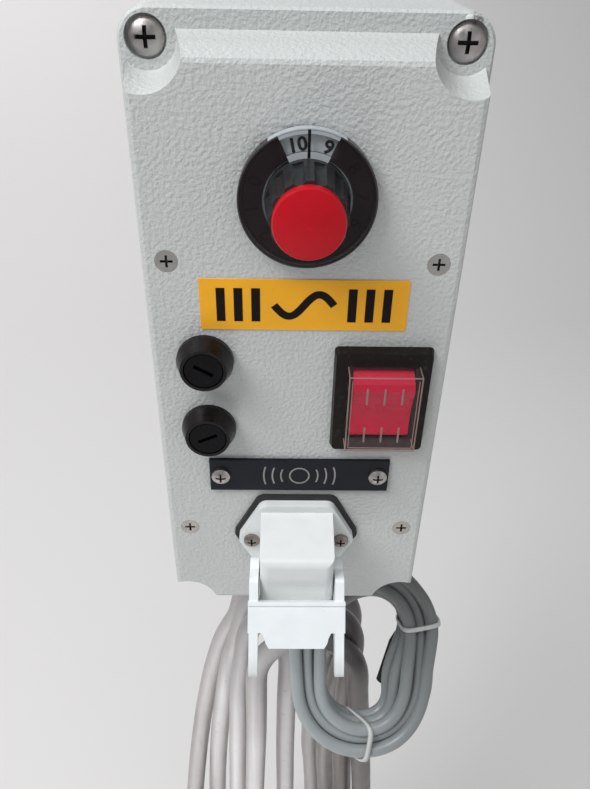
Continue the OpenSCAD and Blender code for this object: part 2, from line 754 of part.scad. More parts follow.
module connector_gasket() color([0.16, 0.16, 0.16]) at_panel(0, socket_z) difference() {
    linear_extrude(gasket_t) six_corner(gasket_rim);
    translate([0, 0, -over]) cylinder(h = 5, d = socket_hole_d);
    for (s = [-1, 1]) translate([s * flange_screw_x / 2, 0, -over])
        cylinder(h = 5, d = small_screw_d + 2 * bolt_gap);
}

// The side outline of the housing, as [out of the panel, up from the flange centre]
module housing_side() {
    low = roof_z - roof_drop;
    polygon([
        [gasket_t, mouth_z], [gasket_t, roof_z], [flange_z + 0.5, roof_z],
        for (i = [0:6])
            let (a = 90 - 15 - i * 75 / 6)
            [housing_out - roof_r + roof_r * cos(a), low - roof_r + roof_r * sin(a) + 0.3],
        [housing_out, mouth_z],
    ]);
}

module connector_housing() color(WHITE) at_panel(0, socket_z) difference() {
    union() {
        translate([0, 0, gasket_t]) linear_extrude(flange_t) six_corner(0);
        intersection() {
            rotate([0, -90, 0]) translate([0, 0, -housing_w / 2])
                linear_extrude(housing_w) housing_side();
            rotate([-90, 0, 0]) translate([0, 0, -30]) linear_extrude(60)
                rounded_rect(housing_w, 2 * housing_out, 2.4);
        }
        translate([0, pivot_z, pivot_out]) rotate([0, 90, 0])
            cylinder(h = housing_w + 2 * peg_l, r = peg_r, center = true);
    }
    // the pocket for the plug, open downwards
    translate([-housing_w / 2 + housing_wall, mouth_z - over, pocket_back])
        cube([housing_w - 2 * housing_wall, insert_l + mouth_free + over + 1,
              housing_out - housing_wall - pocket_back]);
    // the way for the wires
    translate([0, -1, gasket_t - over]) cylinder(h = pocket_back, d = 11);
    for (s = [-1, 1]) translate([s * flange_screw_x / 2, 0, 0])
        cylinder(h = 10, d = small_screw_d + 2 * bolt_gap);
}

module housing_screws() color(STEEL) for (s = [-1, 1])
    at_panel(s * flange_screw_x / 2, socket_z) translate([0, 0, flange_z])
        pan_screw(4.6, 1.6, small_screw_d, flange_z + panel_t + 1);

pocket_w = housing_w - 2 * housing_wall;
pocket_deep = housing_out - housing_wall - pocket_back;
insert_top = mouth_z + mouth_free + insert_l;
contact_places = [[-4.6, 0], [0, 3], [4.6, 0], [0, -3]];

module at_contacts() {
    for (p = contact_places)
        translate([p[0], 0, pocket_back + pocket_deep / 2 + p[1]]) children();
}

module contact_insert() color([0.80, 0.80, 0.78]) at_panel(0, socket_z) difference() {
    translate([-pocket_w / 2 + 0.1, insert_top - insert_l, pocket_back + 0.1])
        cube([pocket_w - 0.2, insert_l, pocket_deep - 0.2]);
    at_contacts() translate([0, insert_top + over, 0]) rotate([90, 0, 0])
        cylinder(h = insert_l + 2 * over, d = 3.4);
}

module contacts() color([0.8, 0.7, 0.4]) at_panel(0, socket_z) at_contacts()
    translate([0, insert_top, 0]) rotate([90, 0, 0]) difference() {
        cylinder(h = insert_l - 1, d = 3.36);
        translate([0, 0, 3]) cylinder(h = insert_l, d = 2.5);
    }

// The side of a lever arm, as [behind the bar's face, above the pivot], lever upright
module arm_side() {
    f = -bar_out;
    difference() {
        union() {
            polygon(rounded([
                [f, -arm_end], [f + 4.4, -arm_end], [f + 5.2, -arm_end + 7],
                [0.5, -10.5], [3.6, -2], [0.5, 3.2], [f, -arm_top],
            ], 1.4));
            circle(3.9);
        }
        circle(peg_r + run_gap);
    }
}

module locking_lever() color(WHITE)
    at_panel(0, socket_z) translate([0, pivot_z, pivot_out]) rotate([-90, 0, 0])
        rotate([-lever_tilt, 0, 0]) {
            for (s = [-1, 1]) translate([s * (lever_w - arm_t) / 2, 0, 0])
                along_x(arm_t) arm_side();
            // the bar, its ridge along the top and the grip below
            translate([-lever_w / 2 - 0.3, -bar_out, -bar_top - bar_h])
                cube([lever_w + 0.6, bar_t, bar_h]);
            translate([-lever_w / 2 - 0.3, -bar_out - 0.5, -bar_top - 1.1])
                cube([lever_w + 0.6, 0.6, 1.1]);
            translate([0, -bar_out + bar_t, -bar_top - bar_h]) rotate([90, 0, 0])
                linear_extrude(bar_t) polygon([
                    [-9.6, 0.01], [9.6, 0.01],
                    for (i = [0:4]) [8.2 + 1.2 * cos(i * 22.5) - 0.6, -1.6 - (lip_h - 1.6) * i / 4],
                    for (i = [4:-1:0]) [-8.2 - 1.2 * cos(i * 22.5) + 0.6, -1.6 - (lip_h - 1.6) * i / 4],
                ]);
        }

// ---------------------------------------------------------------- cable glands

supply_gland_d = 16;
sensor_gland_d = 12.5;
supply_flats = 20;
sensor_flats = 15;
thread_in = 8;
collar = 4.5;
nut_l_supply = 14;
nut_l_sensor = 10;
floor_z = -box_h / 2;
supply_gland_at = [-supply_gland_x, -supply_gland_back];
sensor_gland_at = [sensor_gland_x, -sensor_gland_back];

module at_gland(at) translate([at[0], at[1], floor_z]) children();

module gland(at, thread_d, flats, cable_d) at_gland(at) difference() {
    union() {
        translate([0, 0, -0.01]) cylinder(h = thread_in + 0.01, d = thread_d);
        translate([0, 0, -collar]) hex_bar(flats, collar);
    }
    translate([0, 0, -collar - over]) cylinder(h = thread_in + collar + 2 * over, d = cable_d + 1);
}

module gland_nut(at, flats, length, cable_d) at_gland(at) translate([0, 0, -collar - length])
    difference() {
        union() {
            translate([0, 0, length - 5]) hex_bar(flats, 5);
            cylinder(h = length - 4.99, d1 = flats * 0.66, d2 = flats * 0.98);
        }
        translate([0, 0, -over]) cylinder(h = length + 2 * over, d = cable_d);
    }

module supply_gland() color([0.55, 0.56, 0.57]) gland(supply_gland_at, supply_gland_d, supply_flats, supply_d);
module supply_gland_nut() color([0.55, 0.56, 0.57]) gland_nut(supply_gland_at, supply_flats, nut_l_supply, supply_d);
module sensor_gland() color([0.55, 0.56, 0.57]) gland(sensor_gland_at, sensor_gland_d, sensor_flats, sensor_d);
module sensor_gland_nut() color([0.55, 0.56, 0.57]) gland_nut(sensor_gland_at, sensor_flats, nut_l_sensor, sensor_d);

module gland_locknuts() color([0.55, 0.56, 0.57]) {
    for (g = [[supply_gland_at, supply_flats - 1, supply_gland_d],
              [sensor_gland_at, sensor_flats, sensor_gland_d]])
        at_gland(g[0]) translate([0, 0, wall]) difference() {
            rotate(30) hex_bar(g[1], 3.5);
            translate([0, 0, -over]) cylinder(h = 6, d = g[2] + 0.04);
        }
}

// ---------------------------------------------------------------- cables

supply_exit_z = floor_z - collar - nut_l_supply;
sensor_exit_z = floor_z - collar - nut_l_sensor;

// A round tube of n sides, swept along points by polyhedron
function along(points, i) =
    unit(points[min(i + 1, len(points) - 1)] - points[max(i - 1, 0)]);
function across(d) = unit(cross(d, abs(d[0]) < 0.8 ? [1, 0, 0] : [0, 1, 0]));
module swept_tube(points, d, n) {
    rings = len(points);
    spots = [for (i = [0:rings - 1])
        let (t = along(points, i), u = across(t), v = cross(t, u))
        each [for (k = [0:n - 1]) points[i] + d / 2 * (u * cos(k * 360 / n) + v * sin(k * 360 / n))]];
    polyhedron(spots, concat(
        [[for (k = [0:n - 1]) k]],
        [[for (k = [n - 1:-1:0]) (rings - 1) * n + k]],
        [for (i = [0:rings - 2], k = [0:n - 1])
            [i * n + k, (i + 1) * n + k, (i + 1) * n + (k + 1) % n, i * n + (k + 1) % n]]));
}

coil_top = -124;                     // top of the supply cable's hank
hank_front = [-42.5, -26];           // the hank's two front loops, front to back
hank_back = [-26, -1.5];             // its two back loops

supply_route = [
    [-10.5, -22, -106], [-10.5, -22, -110], [-10.4, -21.9, -115], [-9.8, -21.8, -120.5],
    [-8.6, -21.7, -126.5], [-7, -21.7, -133], [-5, -21.7, -141],
];

module supply_lead() color(CABLE) swept_tube(supply_route, supply_d, 12);

front_loops = [-43.4, -26.0];        // depths of the hank's two front loops
middle_run = [-26.1, -17.3];         // the first run, down the middle
back_loops = [-17.4, -0.1];          // its two back loops
hank_low = -393.5;
bend_h = 32;                         // height of its lower bends
tie_x = 2;                           // the tie holds the lower bends together
tie_hole_z = -375;
plug_at = [-52, -22, -312];          // top of the plug's body
plug_w = 16;
plug_deep = 36;

module hank_layer(depths) translate([0, depths[1], 0]) rotate([90, 0, 0])
    linear_extrude(depths[1] - depths[0]) difference() {
        children();
        translate([tie_x, tie_hole_z + 5]) square([8, 10], center = true);
    }

module supply_coil() color(CABLE) {
    difference() {
        hank_layer(back_loops) polygon(rounded(
            [[26, hank_low + 4], [32, -121.5], [-27, -121.5], [-50, -230], [-56.6, -300],
             [-56.6, hank_low + 4]], 20, 8));
        translate([plug_at[0] - plug_deep, -70, hank_low - 1])
            cube([plug_deep + plug_w / 2 + ease, 80, plug_at[2] - hank_low + 1]);
    }
    hank_layer(middle_run) {
        translate([-16, hank_low + bend_h]) square([22, -141 - hank_low - bend_h]);
        polygon(rounded([[-16, hank_low], [45.4, hank_low], [45.4, hank_low + bend_h + 5],
                         [-16, hank_low + bend_h + 5]], 15, 8));
    }
    hank_layer(front_loops) polygon(rounded(
        [[45.4, hank_low], [37, -168], [24, -131.5], [-12, -131.5], [-27.5, -168],
         [-33, -350], [-33, hank_low]], 20, 8));
    // the last run, coming forward to the plug
    translate([plug_at[0] - supply_d / 2, plug_at[1] - supply_d / 2, plug_at[2]])
        cube([supply_d, middle_run[1] - plug_at[1] + supply_d, 34]);
}

tie_w = 3.6;
tie_t = 1.1;

module supply_tie() color([0.88, 0.88, 0.86]) translate([tie_x - tie_w / 2, 0, 0])
    rotate([90, 0, 90]) linear_extrude(tie_w) difference() {
        translate([front_loops[0] - tie_t, hank_low - tie_t])
            square([back_loops[1] - front_loops[0] + 2 * tie_t, tie_hole_z - hank_low + 2 * tie_t]);
        translate([front_loops[0], hank_low])
            square([back_loops[1] - front_loops[0], tie_hole_z - hank_low]);
    }

plug_neck = 9;
plug_body = 29;
pin_d = 4;
pin_l = 19;

module supply_plug() translate(plug_at) {
    color(BLACK) {
        rotate([0, 0, 90]) translate([0, 0, -plug_neck - plug_body]) linear_extrude(plug_body)
            rounded_rect(plug_deep, plug_w, 6);
        translate([0, 0, -plug_neck - 0.01]) cylinder(h = plug_neck + 0.01, d1 = plug_w, d2 = 11);
    }
    color(STEEL) for (s = [-1, 1]) translate([0, s * 9.5, -plug_neck - plug_body - pin_l])
        cylinder(h = pin_l + 0.01, d = pin_d);
}

sensor_route = [
    [12.5, -17, -102], [12.6, -17, -105], [14.4, -16.9, -108.2], [18.4, -16.7, -110.2],
    [24, -16.8, -111], [30, -17.6, -111], [36, -19.8, -110.6], [41, -23.6, -110.4],
    [44.2, -28.4, -111.2], [45.6, -33.4, -113.2],
];
ring_at = [26.6, -47.6, -123.6];     // centre of the sensor cable's coil
ring_turn = 4.5;                     // turned a little, its right side back
ring_lean = 30;                      // its top leans back
ring_w = 41.8;                        // width and height between the bundle's middles
ring_h = 60.8;
ring_bundle = 12.4;                   // width of its bundle in the ring's plane
ring_deep = 13.4;                     // thickness of its bundle

module sensor_lead() color(THIN_CABLE) swept_tube(sensor_route, sensor_d, 8);

// The ring's own frame: x across it, y through it, z up along it
module in_ring() translate(ring_at) rotate([0, 0, ring_turn]) rotate([-ring_lean, 0, 0]) children();

module sensor_coil() color(THIN_CABLE) in_ring() rotate([90, 0, 0])
    translate([0, 0, -ring_deep / 2]) linear_extrude(ring_deep) difference() {
        rounded_rect(ring_w + ring_bundle, ring_h + ring_bundle, (ring_w + ring_bundle) / 2 - 0.01);
        rounded_rect(ring_w - ring_bundle, ring_h - ring_bundle, (ring_w - ring_bundle) / 2 - 0.01);
    }

// A flat tie round the bundle, lying across x and y
module bundle_tie() linear_extrude(2.4, center = true) difference() {
    square([ring_bundle + 2 * tie_t, ring_deep + 2 * tie_t], center = true);
    square([ring_bundle + 0.2, ring_deep + 0.1], center = true);
}

side_tie_turn = 7;                   // the side tie sits a little above the straight run
low_tie_turn = 12;                   // the lower tie's place, turned from straight down

module sensor_ties() color([0.88, 0.88, 0.86]) in_ring() {
    translate([0, 0, (ring_h - ring_w) / 2]) rotate([0, -side_tie_turn, 0])
        translate([ring_w / 2, 0, 0]) bundle_tie();
    translate([0, 0, -(ring_h - ring_w) / 2]) rotate([0, low_tie_turn, 0])
        translate([0, 0, -ring_w / 2]) rotate([0, 90, 0]) bundle_tie();
}

end_d = 7;
end_l = 16;
end_neck = 4;
end_tilt = 19.5;
end_at = [10, (ring_deep + end_d) / 2 + 0.1, -16];

module sensor_end() color(BLACK) in_ring() translate(end_at) rotate([0, end_tilt, 0]) {
    cylinder(h = end_l, d = end_d);
    translate([0, 0, end_l - 0.01]) cylinder(h = end_neck, d1 = end_d, d2 = 5);
}

// ---------------------------------------------------------------- the model

base_box();
lid();
lid_seal();
lid_screws();
panel_screws();
board_spacers();
circuit_board();
board_screws();
heat_sink();
triac();
filter_capacitor();
choke();
terminal_block();
dial_base();
dial_cover();
dial_window();
scale_disc();
knob_body();
knob_cap();
pot_shaft();
pot_body();
pot_nut();
fuse_holder_upper();
fuse_holder_lower();
fuse_nuts();
fuse_cap_upper();
fuse_cap_lower();
fuse_upper();
fuse_lower();
switch_body();
switch_terminals();
rocker();
splash_cover();
voltage_label();
name_plate();
plate_screws();
connector_gasket();
connector_housing();
housing_screws();
contact_insert();
contacts();
locking_lever();
supply_gland();
supply_gland_nut();
sensor_gland();
sensor_gland_nut();
gland_locknuts();
supply_lead();
supply_coil();
supply_tie();
supply_plug();
sensor_lead();
sensor_coil();
sensor_ties();
sensor_end();
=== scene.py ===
import math

import bmesh
import bpy
import numpy as np
from bpy.props import FloatProperty, FloatVectorProperty, PointerProperty
from bpy.types import NodeSocket, Operator, Panel, PropertyGroup
from mathutils import Matrix, Vector


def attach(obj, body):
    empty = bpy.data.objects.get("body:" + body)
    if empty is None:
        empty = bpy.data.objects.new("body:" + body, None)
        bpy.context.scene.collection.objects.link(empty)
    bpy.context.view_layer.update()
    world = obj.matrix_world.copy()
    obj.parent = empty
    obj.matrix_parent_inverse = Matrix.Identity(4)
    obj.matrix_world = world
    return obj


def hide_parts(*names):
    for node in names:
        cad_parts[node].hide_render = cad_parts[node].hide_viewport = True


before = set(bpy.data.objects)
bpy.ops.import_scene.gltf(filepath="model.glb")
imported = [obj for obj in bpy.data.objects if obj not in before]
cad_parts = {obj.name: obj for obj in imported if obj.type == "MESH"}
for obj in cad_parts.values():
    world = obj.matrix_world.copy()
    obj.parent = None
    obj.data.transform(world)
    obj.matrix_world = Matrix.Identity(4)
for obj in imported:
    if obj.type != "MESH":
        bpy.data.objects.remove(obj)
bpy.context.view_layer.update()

bl_info = {
    "name": "Feeder Speed Controller",
    "version": (1, 0, 0),
    "blender": (4, 5, 0),
    "location": "View3D > Sidebar > Controller",
    "description": "Finishes, printed marks and cables for a feeder's speed controller",
    "category": "Add Mesh",
}

MM = 0.001
SAME_POINT = 1e-7     # points closer than this become one, in metres

# the front panel's face, and the middles of what sits on it as (x, z), in millimetres
PANEL_Y = -57.0
DIAL = (0.5, 52.0)
LABEL = (0.5, 25.7)
PLATE = (0.5, -27.3)
SWITCH = (21.0, -1.4)
CONNECTOR = (0, -49.5)


# -------- sizes and colours a user can change

def tint(name, description, default):
    return FloatVectorProperty(name=name, description=description, subtype="COLOR", default=default,
                               min=0, max=1)


def measure(name, description, default, low, high):
    return FloatProperty(name=name, description=description, default=default, min=low, max=high,
                         unit="LENGTH")


class CONTROLLER_PG_colours(PropertyGroup):
    """Colours of the finishes, as they look under plain white light."""
    paint: tint("Box paint", "Textured paint on the box and lid", (0.55, 0.565, 0.555))
    cap: tint("Knob cap", "Cap in the knob's head", (0.50, 0.006, 0.014))
    label: tint("Label", "Ground of the stuck-on label", (0.92, 0.43, 0.012))
    rocker: tint("Rocker", "Moulding of the rocker", (0.56, 0.010, 0.045))
    housing: tint("Connector", "Moulding of the output connector", (0.74, 0.76, 0.755))
    supply: tint("Supply cable", "Sheath of the thick cable", (0.82, 0.795, 0.80))
    sensor: tint("Sensor cable", "Sheath of the thin cable", (0.33, 0.36, 0.365))


class CONTROLLER_PG_sizes(PropertyGroup):
    """Sizes of what the finishes and cables add."""
    supply_d: measure("Supply cable", "Diameter of the thick cable", 0.0088, 0.006, 0.0088)
    sensor_d: measure("Sensor cable", "Diameter of the thin cable", 0.0047, 0.003, 0.005)
    grain: measure("Paint grain", "Width of one grain of the textured paint", 0.0010, 0.0006, 0.004)
    digit: measure("Dial digits", "Height of the dial's digits", 0.0040, 0.002, 0.0045)


def colours():
    return bpy.context.scene.controller_colours


def sizes():
    return bpy.context.scene.controller_sizes


# -------- shapes

def ease(t):
    """A smooth step: 3 t^2 - 2 t^3 with t held between 0 and 1."""
    t = np.clip(t, 0, 1)
    return t * t * (3 - 2 * t)


def points_of(x, y, z):
    """Points from their three coordinates, each a number or an array."""
    return np.stack(np.broadcast_arrays(x, y, z), -1)


def on_panel(x, z, out):
    """Points of the front panel's own plane, in millimetres, as points of the frame in metres."""
    return points_of(x, PANEL_Y - out, z) * MM


def cleaned(mesh):
    """Merges a mesh's doubled points and turns its faces outwards."""
    work = bmesh.new()
    work.from_mesh(mesh)
    bmesh.ops.remove_doubles(work, verts=work.verts, dist=SAME_POINT)
    bmesh.ops.recalc_face_normals(work, faces=work.faces)
    work.to_mesh(mesh)
    work.free()


def shown(name, data):
    """A new object at the origin that shows a mesh, curve, lamp or camera."""
    made = bpy.data.objects.new(name, data)
    bpy.context.collection.objects.link(made)
    return made


def skin_faces(rows, cols, ring, first):
    """Quads of a grid whose columns close on themselves; its rows close too for a ring, or end in caps."""
    i = np.arange(rows if ring else rows - 1)[:, None]
    j = np.arange(cols)[None, :]
    up = (i + 1) % rows
    right = (j + 1) % cols
    quads = np.stack([i * cols + j, i * cols + right, up * cols + right, up * cols + j], -1)
    faces = (quads.reshape(-1, 4) + first).tolist()
    if not ring:
        faces.append((np.arange(cols)[::-1] + first).tolist())
        faces.append((np.arange(cols) + (rows - 1) * cols + first).tolist())
    return faces


def skins(name, grids, material, ring=False, smooth=True):
    """Several closed skins, each over a grid of points, rows by columns, in one object at the origin."""
    points, faces, first = [], [], 0
    for grid in grids:
        rows, cols = grid.shape[:2]
        faces += skin_faces(rows, cols, ring, first)
        points.append(grid.reshape(-1, 3))
        first += rows * cols
    mesh = bpy.data.meshes.new(name)
    mesh.from_pydata(np.vstack(points).tolist(), [], faces)
    mesh.update()
    cleaned(mesh)
    mesh.polygons.foreach_set("use_smooth", np.full(len(mesh.polygons), smooth))
    mesh.materials.append(material)
    return shown(name, mesh)


def unit(v):
    return v / np.maximum(np.linalg.norm(v, axis=-1, keepdims=True), 1e-12)


def stroke(path, width, low, high):
    """A flat printed line: a rectangle width wide, from low to high above the panel, carried along a path
    of panel points. Each row holds path -/+ normal * width / 2 at both heights."""
    path = np.asarray(path, float)
    along = np.gradient(path, axis=0)
    across = unit(np.stack([-along[:, 1], along[:, 0]], -1)) * width / 2
    left, right = path + across, path - across
    edges = ((left, low), (right, low), (right, high), (left, high))
    return np.stack([on_panel(*edge.T, out) for edge, out in edges], 1)


def bar(a, b, out_a, out_b, width):
    """A square bar width wide between two panel points, each at its own height above the panel: four
    corners round the axis at both ends."""
    ends = np.array([on_panel(*a, out_a), on_panel(*b, out_b)])
    axis = unit(ends[1] - ends[0])
    # any direction well away from the axis gives the bar its first side
    away = (0.31, 0.12, 0.94) if abs(axis[2]) < 0.9 else (0.94, 0.31, 0.12)
    side = unit(np.cross(axis, away))
    other = np.cross(axis, side)
    half = width / 2 * MM
    square = np.array([side + other, other - side, -side - other, side - other]) * half
    return ends[:, None] + square[None]


def lathe(profile, steps):
    """A surface of revolution about an axis: (r cos a, r sin a, h) for each profile point (r, h)."""
    a = np.linspace(0, 2 * np.pi, steps, endpoint=False)
    r, h = np.asarray(profile, float).T
    return r[:, None] * np.cos(a), r[:, None] * np.sin(a), h[:, None] * np.ones(steps)


def superellipse(w, h, power, steps=48):
    """A rounded rectangle: |2x/w|^power + |2y/h|^power = 1, by angle."""
    a = np.linspace(0, 2 * np.pi, steps, endpoint=False)
    c, s = np.cos(a), np.sin(a)
    k = (np.abs(c) ** power + np.abs(s) ** power) ** (-1 / power)
    return np.stack([w / 2 * k * c, h / 2 * k * s], -1)


SMOOTH_OVER = 5       # points that each mean is taken over


def smoothed(path, step):
    """A path with points a step apart, each the mean of its neighbours, its two ends kept."""
    gaps = np.linalg.norm(np.diff(path, axis=0), axis=1)
    s = np.concatenate([[0], np.cumsum(gaps)])
    u = np.linspace(0, s[-1], max(int(s[-1] / step), 2))
    even = [np.interp(u, s, path[:, k]) for k in range(3)]
    kernel = np.ones(SMOOTH_OVER) / SMOOTH_OVER
    soft = np.stack([np.convolve(np.pad(line, SMOOTH_OVER // 2, mode="edge"), kernel, mode="valid")
                     for line in even], -1)
    soft[0], soft[-1] = path[0], path[-1]
    return soft


def cable(name, path, diameter, material):
    """A round cable: one open spline along the path, in metres, with a round bevel."""
    curve = bpy.data.curves.new(name, "CURVE")
    curve.dimensions = "3D"
    curve.bevel_depth = diameter / 2
    curve.bevel_resolution = 4
    curve.use_fill_caps = True
    spline = curve.splines.new("POLY")
    spline.points.add(len(path) - 1)
    flat = np.concatenate([path, np.ones((len(path), 1))], 1)
    spline.points.foreach_set("co", flat.ravel())
    spline.use_smooth = True
    curve.materials.append(material)
    return shown(name, curve)


DIGIT_THICK = 0.04
DIGIT_BOLD = 0.12
DIGIT_STRETCH = 1.05


def number(text, size, x, z, out, turn, material, name):
    """Digits as a thin solid, turned clockwise by turn degrees about their own middle."""
    curve = bpy.data.curves.new(name, "FONT")
    curve.body = text
    curve.size = size / MM
    curve.align_x = "CENTER"
    curve.align_y = "CENTER"
    curve.extrude = DIGIT_THICK / 2
    curve.offset = DIGIT_BOLD
    curve.resolution_u = 3
    holder = shown(name + "_text", curve)
    bpy.context.view_layer.update()
    drawn = holder.evaluated_get(bpy.context.evaluated_depsgraph_get())
    mesh = bpy.data.meshes.new_from_object(drawn)
    bpy.data.objects.remove(holder)
    co = np.empty(len(mesh.vertices) * 3)
    mesh.vertices.foreach_get("co", co)
    co = co.reshape(-1, 3)
    co[:, 0] *= DIGIT_STRETCH
    c, s = math.cos(math.radians(-turn)), math.sin(math.radians(-turn))
    u, v = co[:, 0] * c - co[:, 1] * s, co[:, 0] * s + co[:, 1] * c
    place = on_panel(x + u, z + v, out + co[:, 2])
    mesh.vertices.foreach_set("co", place.ravel())
    mesh.materials.clear()
    mesh.materials.append(material)
    cleaned(mesh)
    return shown(name, mesh)


# -------- finishes

class Finish:
    """A material whose colour, roughness and bump come from noise in the piece's own metres."""

    def __init__(self, name, roughness, metallic=0.0, alpha=1.0, coat=0.0, sub=0.0, ior=1.45, shine=0.5):
        self.material = bpy.data.materials.new(name)
        self.material.use_nodes = True
        self.tree = self.material.node_tree
        self.shader = self.tree.nodes["Principled BSDF"]
        for socket, value in (("Roughness", roughness), ("Metallic", metallic), ("Alpha", alpha),
                              ("Coat Weight", coat), ("Subsurface Weight", sub), ("IOR", ior),
                              ("Specular IOR Level", shine)):
            self.shader.inputs[socket].default_value = value
        if sub:
            self.shader.inputs["Subsurface Radius"].default_value = (0.002, 0.0018, 0.0016)
            self.shader.inputs["Subsurface Scale"].default_value = 1.0
        if coat:
            self.shader.inputs["Coat Roughness"].default_value = 0.12
        where = self.tree.nodes.new("ShaderNodeTexCoord")
        self.place, self.facing = where.outputs["Object"], where.outputs["Normal"]
        self.tinted = self.height = None

    def node(self, kind, output, inputs, **settings):
        """One output of a new node, whose inputs are each set to a value or linked to another's output."""
        made = self.tree.nodes.new(kind)
        for key, value in settings.items():
            setattr(made, key, value)
        for key, value in inputs.items():
            if isinstance(value, NodeSocket):
                self.tree.links.new(value, made.inputs[key])
            else:
                made.inputs[key].default_value = value
        return made.outputs[output]

    def feed(self, socket, value):
        """Links an output to the shader's own socket."""
        self.tree.links.new(value, self.shader.inputs[socket])
        return self

    def noise(self, width, detail, rough=0.5, stretch=None):
        """Noise whose grains are width metres wide; along an axis whose stretch is low they are longer."""
        place = self.place
        if stretch:
            place = self.node("ShaderNodeMapping", "Vector", {"Vector": place, "Scale": stretch})
        return self.node("ShaderNodeTexNoise", "Fac", {
            "Vector": place, "Scale": 1 / width, "Detail": detail, "Roughness": rough})

    def spread(self, value, low, high, to_low=0.0, to_high=1.0):
        """A value from low to high brought to another range, and held inside it."""
        return self.node("ShaderNodeMapRange", "Result", {
            "Value": value, "From Min": low, "From Max": high, "To Min": to_low, "To Max": to_high})

    def colour(self, base, stain, width, detail=3.0):
        """The base colour, lighter and darker by a share in soft patches."""
        base = np.array(base[:3])
        made = self.tree.nodes.new("ShaderNodeValToRGB")
        made.color_ramp.elements.new(0.5)
        for element, at, share in zip(made.color_ramp.elements, (0.25, 0.5, 0.78), (-stain, 0, stain)):
            element.position = at
            element.color = (*np.clip(base * (1 + share), 0, 1), 1)
        self.tree.links.new(self.noise(width, detail), made.inputs["Fac"])
        self.tinted = made.outputs["Color"]
        return self.feed("Base Color", self.tinted)

    def over(self, mask, colour, share):
        """Another colour where a mask is 1, laid over the one before by a share."""
        self.tinted = self.node("ShaderNodeMix", 2, {
            0: self.spread(mask, 0, 1, 0, share), 6: self.tinted, 7: (*colour, 1)}, data_type="RGBA")
        return self.feed("Base Color", self.tinted)

    def bump(self, value, depth, strength):
        """A bump of a real depth in metres, laid over the one before."""
        inputs = {"Height": value, "Distance": depth, "Strength": strength}
        if self.height:
            inputs["Normal"] = self.height
        self.height = self.node("ShaderNodeBump", "Normal", inputs)
        return self.feed("Normal", self.height)

    def roughness(self, value, low, high):
        """Roughness from low to high by a noise."""
        return self.feed("Roughness", self.spread(value, 0.3, 0.7, low, high))

    def apart(self, place, point):
        """How far a place is from a point given in metres."""
        return self.node("ShaderNodeVectorMath", "Value", {0: place, 1: point}, operation="DISTANCE")

    def near(self, point, radius, soft):
        """1 within radius of a point given in metres, falling to 0 outside it."""
        return self.spread(self.apart(self.place, point), radius * (1 - soft), radius, 1, 0)

    def folded(self, middle):
        """The place counted from a middle, without signs, so that one rule serves mirrored screws."""
        moved = self.node("ShaderNodeVectorMath", "Vector", {0: self.place, 1: middle}, operation="SUBTRACT")
        return self.node("ShaderNodeVectorMath", "Vector", {0: moved}, operation="ABSOLUTE")

    def times(self, a, b):
        return self.node("ShaderNodeMath", "Value", {0: a, 1: b}, operation="MULTIPLY")

    def sideways(self):
        """How far the surface looks to the left or right, from 0 to 1."""
        across = self.node("ShaderNodeSeparateXYZ", "X", {"Vector": self.facing})
        return self.node("ShaderNodeMath", "Value", {0: across}, operation="ABSOLUTE")

    def axis(self, letter):
        return self.node("ShaderNodeSeparateXYZ", letter, {"Vector": self.place})


CHIP_AT = (0.0350, -0.0448, 0.0856)
BURR_AT = (0.0336, -0.0450, 0.0860)


def textured_paint(name, chip=False):
    """Powder paint with a fine leathery grain, faint specks and, on the lid, a chip with a raised burr
    beside one screw."""
    f = Finish(name, roughness=0.46)
    f.colour(colours().paint, 0.03, 0.05, 4)
    grain = f.noise(sizes().grain, 1.5, 0.5)
    f.bump(f.spread(grain, 0.34, 0.66), 0.00012, 0.9).bump(f.noise(sizes().grain * 0.35, 1), 0.00004, 0.4)
    f.roughness(f.noise(0.004, 2), 0.40, 0.52)
    f.over(f.spread(f.noise(0.0011, 2, 0.6), 0.70, 0.74), (0.36, 0.35, 0.32), 0.35)
    if chip:
        broken = f.spread(f.noise(0.0009, 3), 0.42, 0.52)
        f.over(f.times(f.near(CHIP_AT, 0.0021, 0.5), broken), (0.10, 0.09, 0.08), 0.8)
        burr = f.near(BURR_AT, 0.0010, 0.3)
        f.over(burr, (0.90, 0.92, 0.92), 0.9).bump(burr, 0.0003, 0.8)
    return f.material


DOME = 0.8            # a screw head's dome: its radius as a share of the head's width
CROSS_SHADED, CROSS_UNSHADED = 0.00022, 0.00010     # depths below the dome between which painted shade darkens its cross


def metal(name, colour, roughness, grain=0.0006, shade_below=None, heads=None):
    """Machined or pressed metal, with fine scratches. From a given depth on, painted shade darkens it as in a
    recess; heads give painted shade in the crosses of domed screws: their shared middle, their axis from it,
    how far the domes' tops are from the box's back, and their width, in millimetres."""
    f = Finish(name, roughness=roughness, metallic=1.0)
    f.colour(colour, 0.10, 0.003)
    f.bump(f.noise(grain, 2, stretch=(1, 1, 6)), 0.00002, 0.5)
    f.roughness(f.noise(0.0012, 3), roughness * 0.75, roughness * 1.35)
    if shade_below is not None:
        # painted shade: the metal darkens where it sinks into its recess
        f.over(f.spread(f.axis("Y"), *shade_below), (0.02, 0.02, 0.02), 0.9)
    if heads:
        middle, (x, z), top, width = (np.array(part) * MM for part in heads)
        place = f.folded((middle[0], 0, middle[1]))
        dome = DOME * width
        below = f.spread(f.apart(place, (x, top - dome, z)), dome - CROSS_SHADED, dome - CROSS_UNSHADED, 1, 0)
        inside = f.spread(f.apart(place, (x, top, z)), 0.30 * width, 0.33 * width, 1, 0)
        # painted shade in the crosses of the screw heads
        f.over(f.times(below, inside), (0.012, 0.010, 0.010), 0.96)
    return f.material


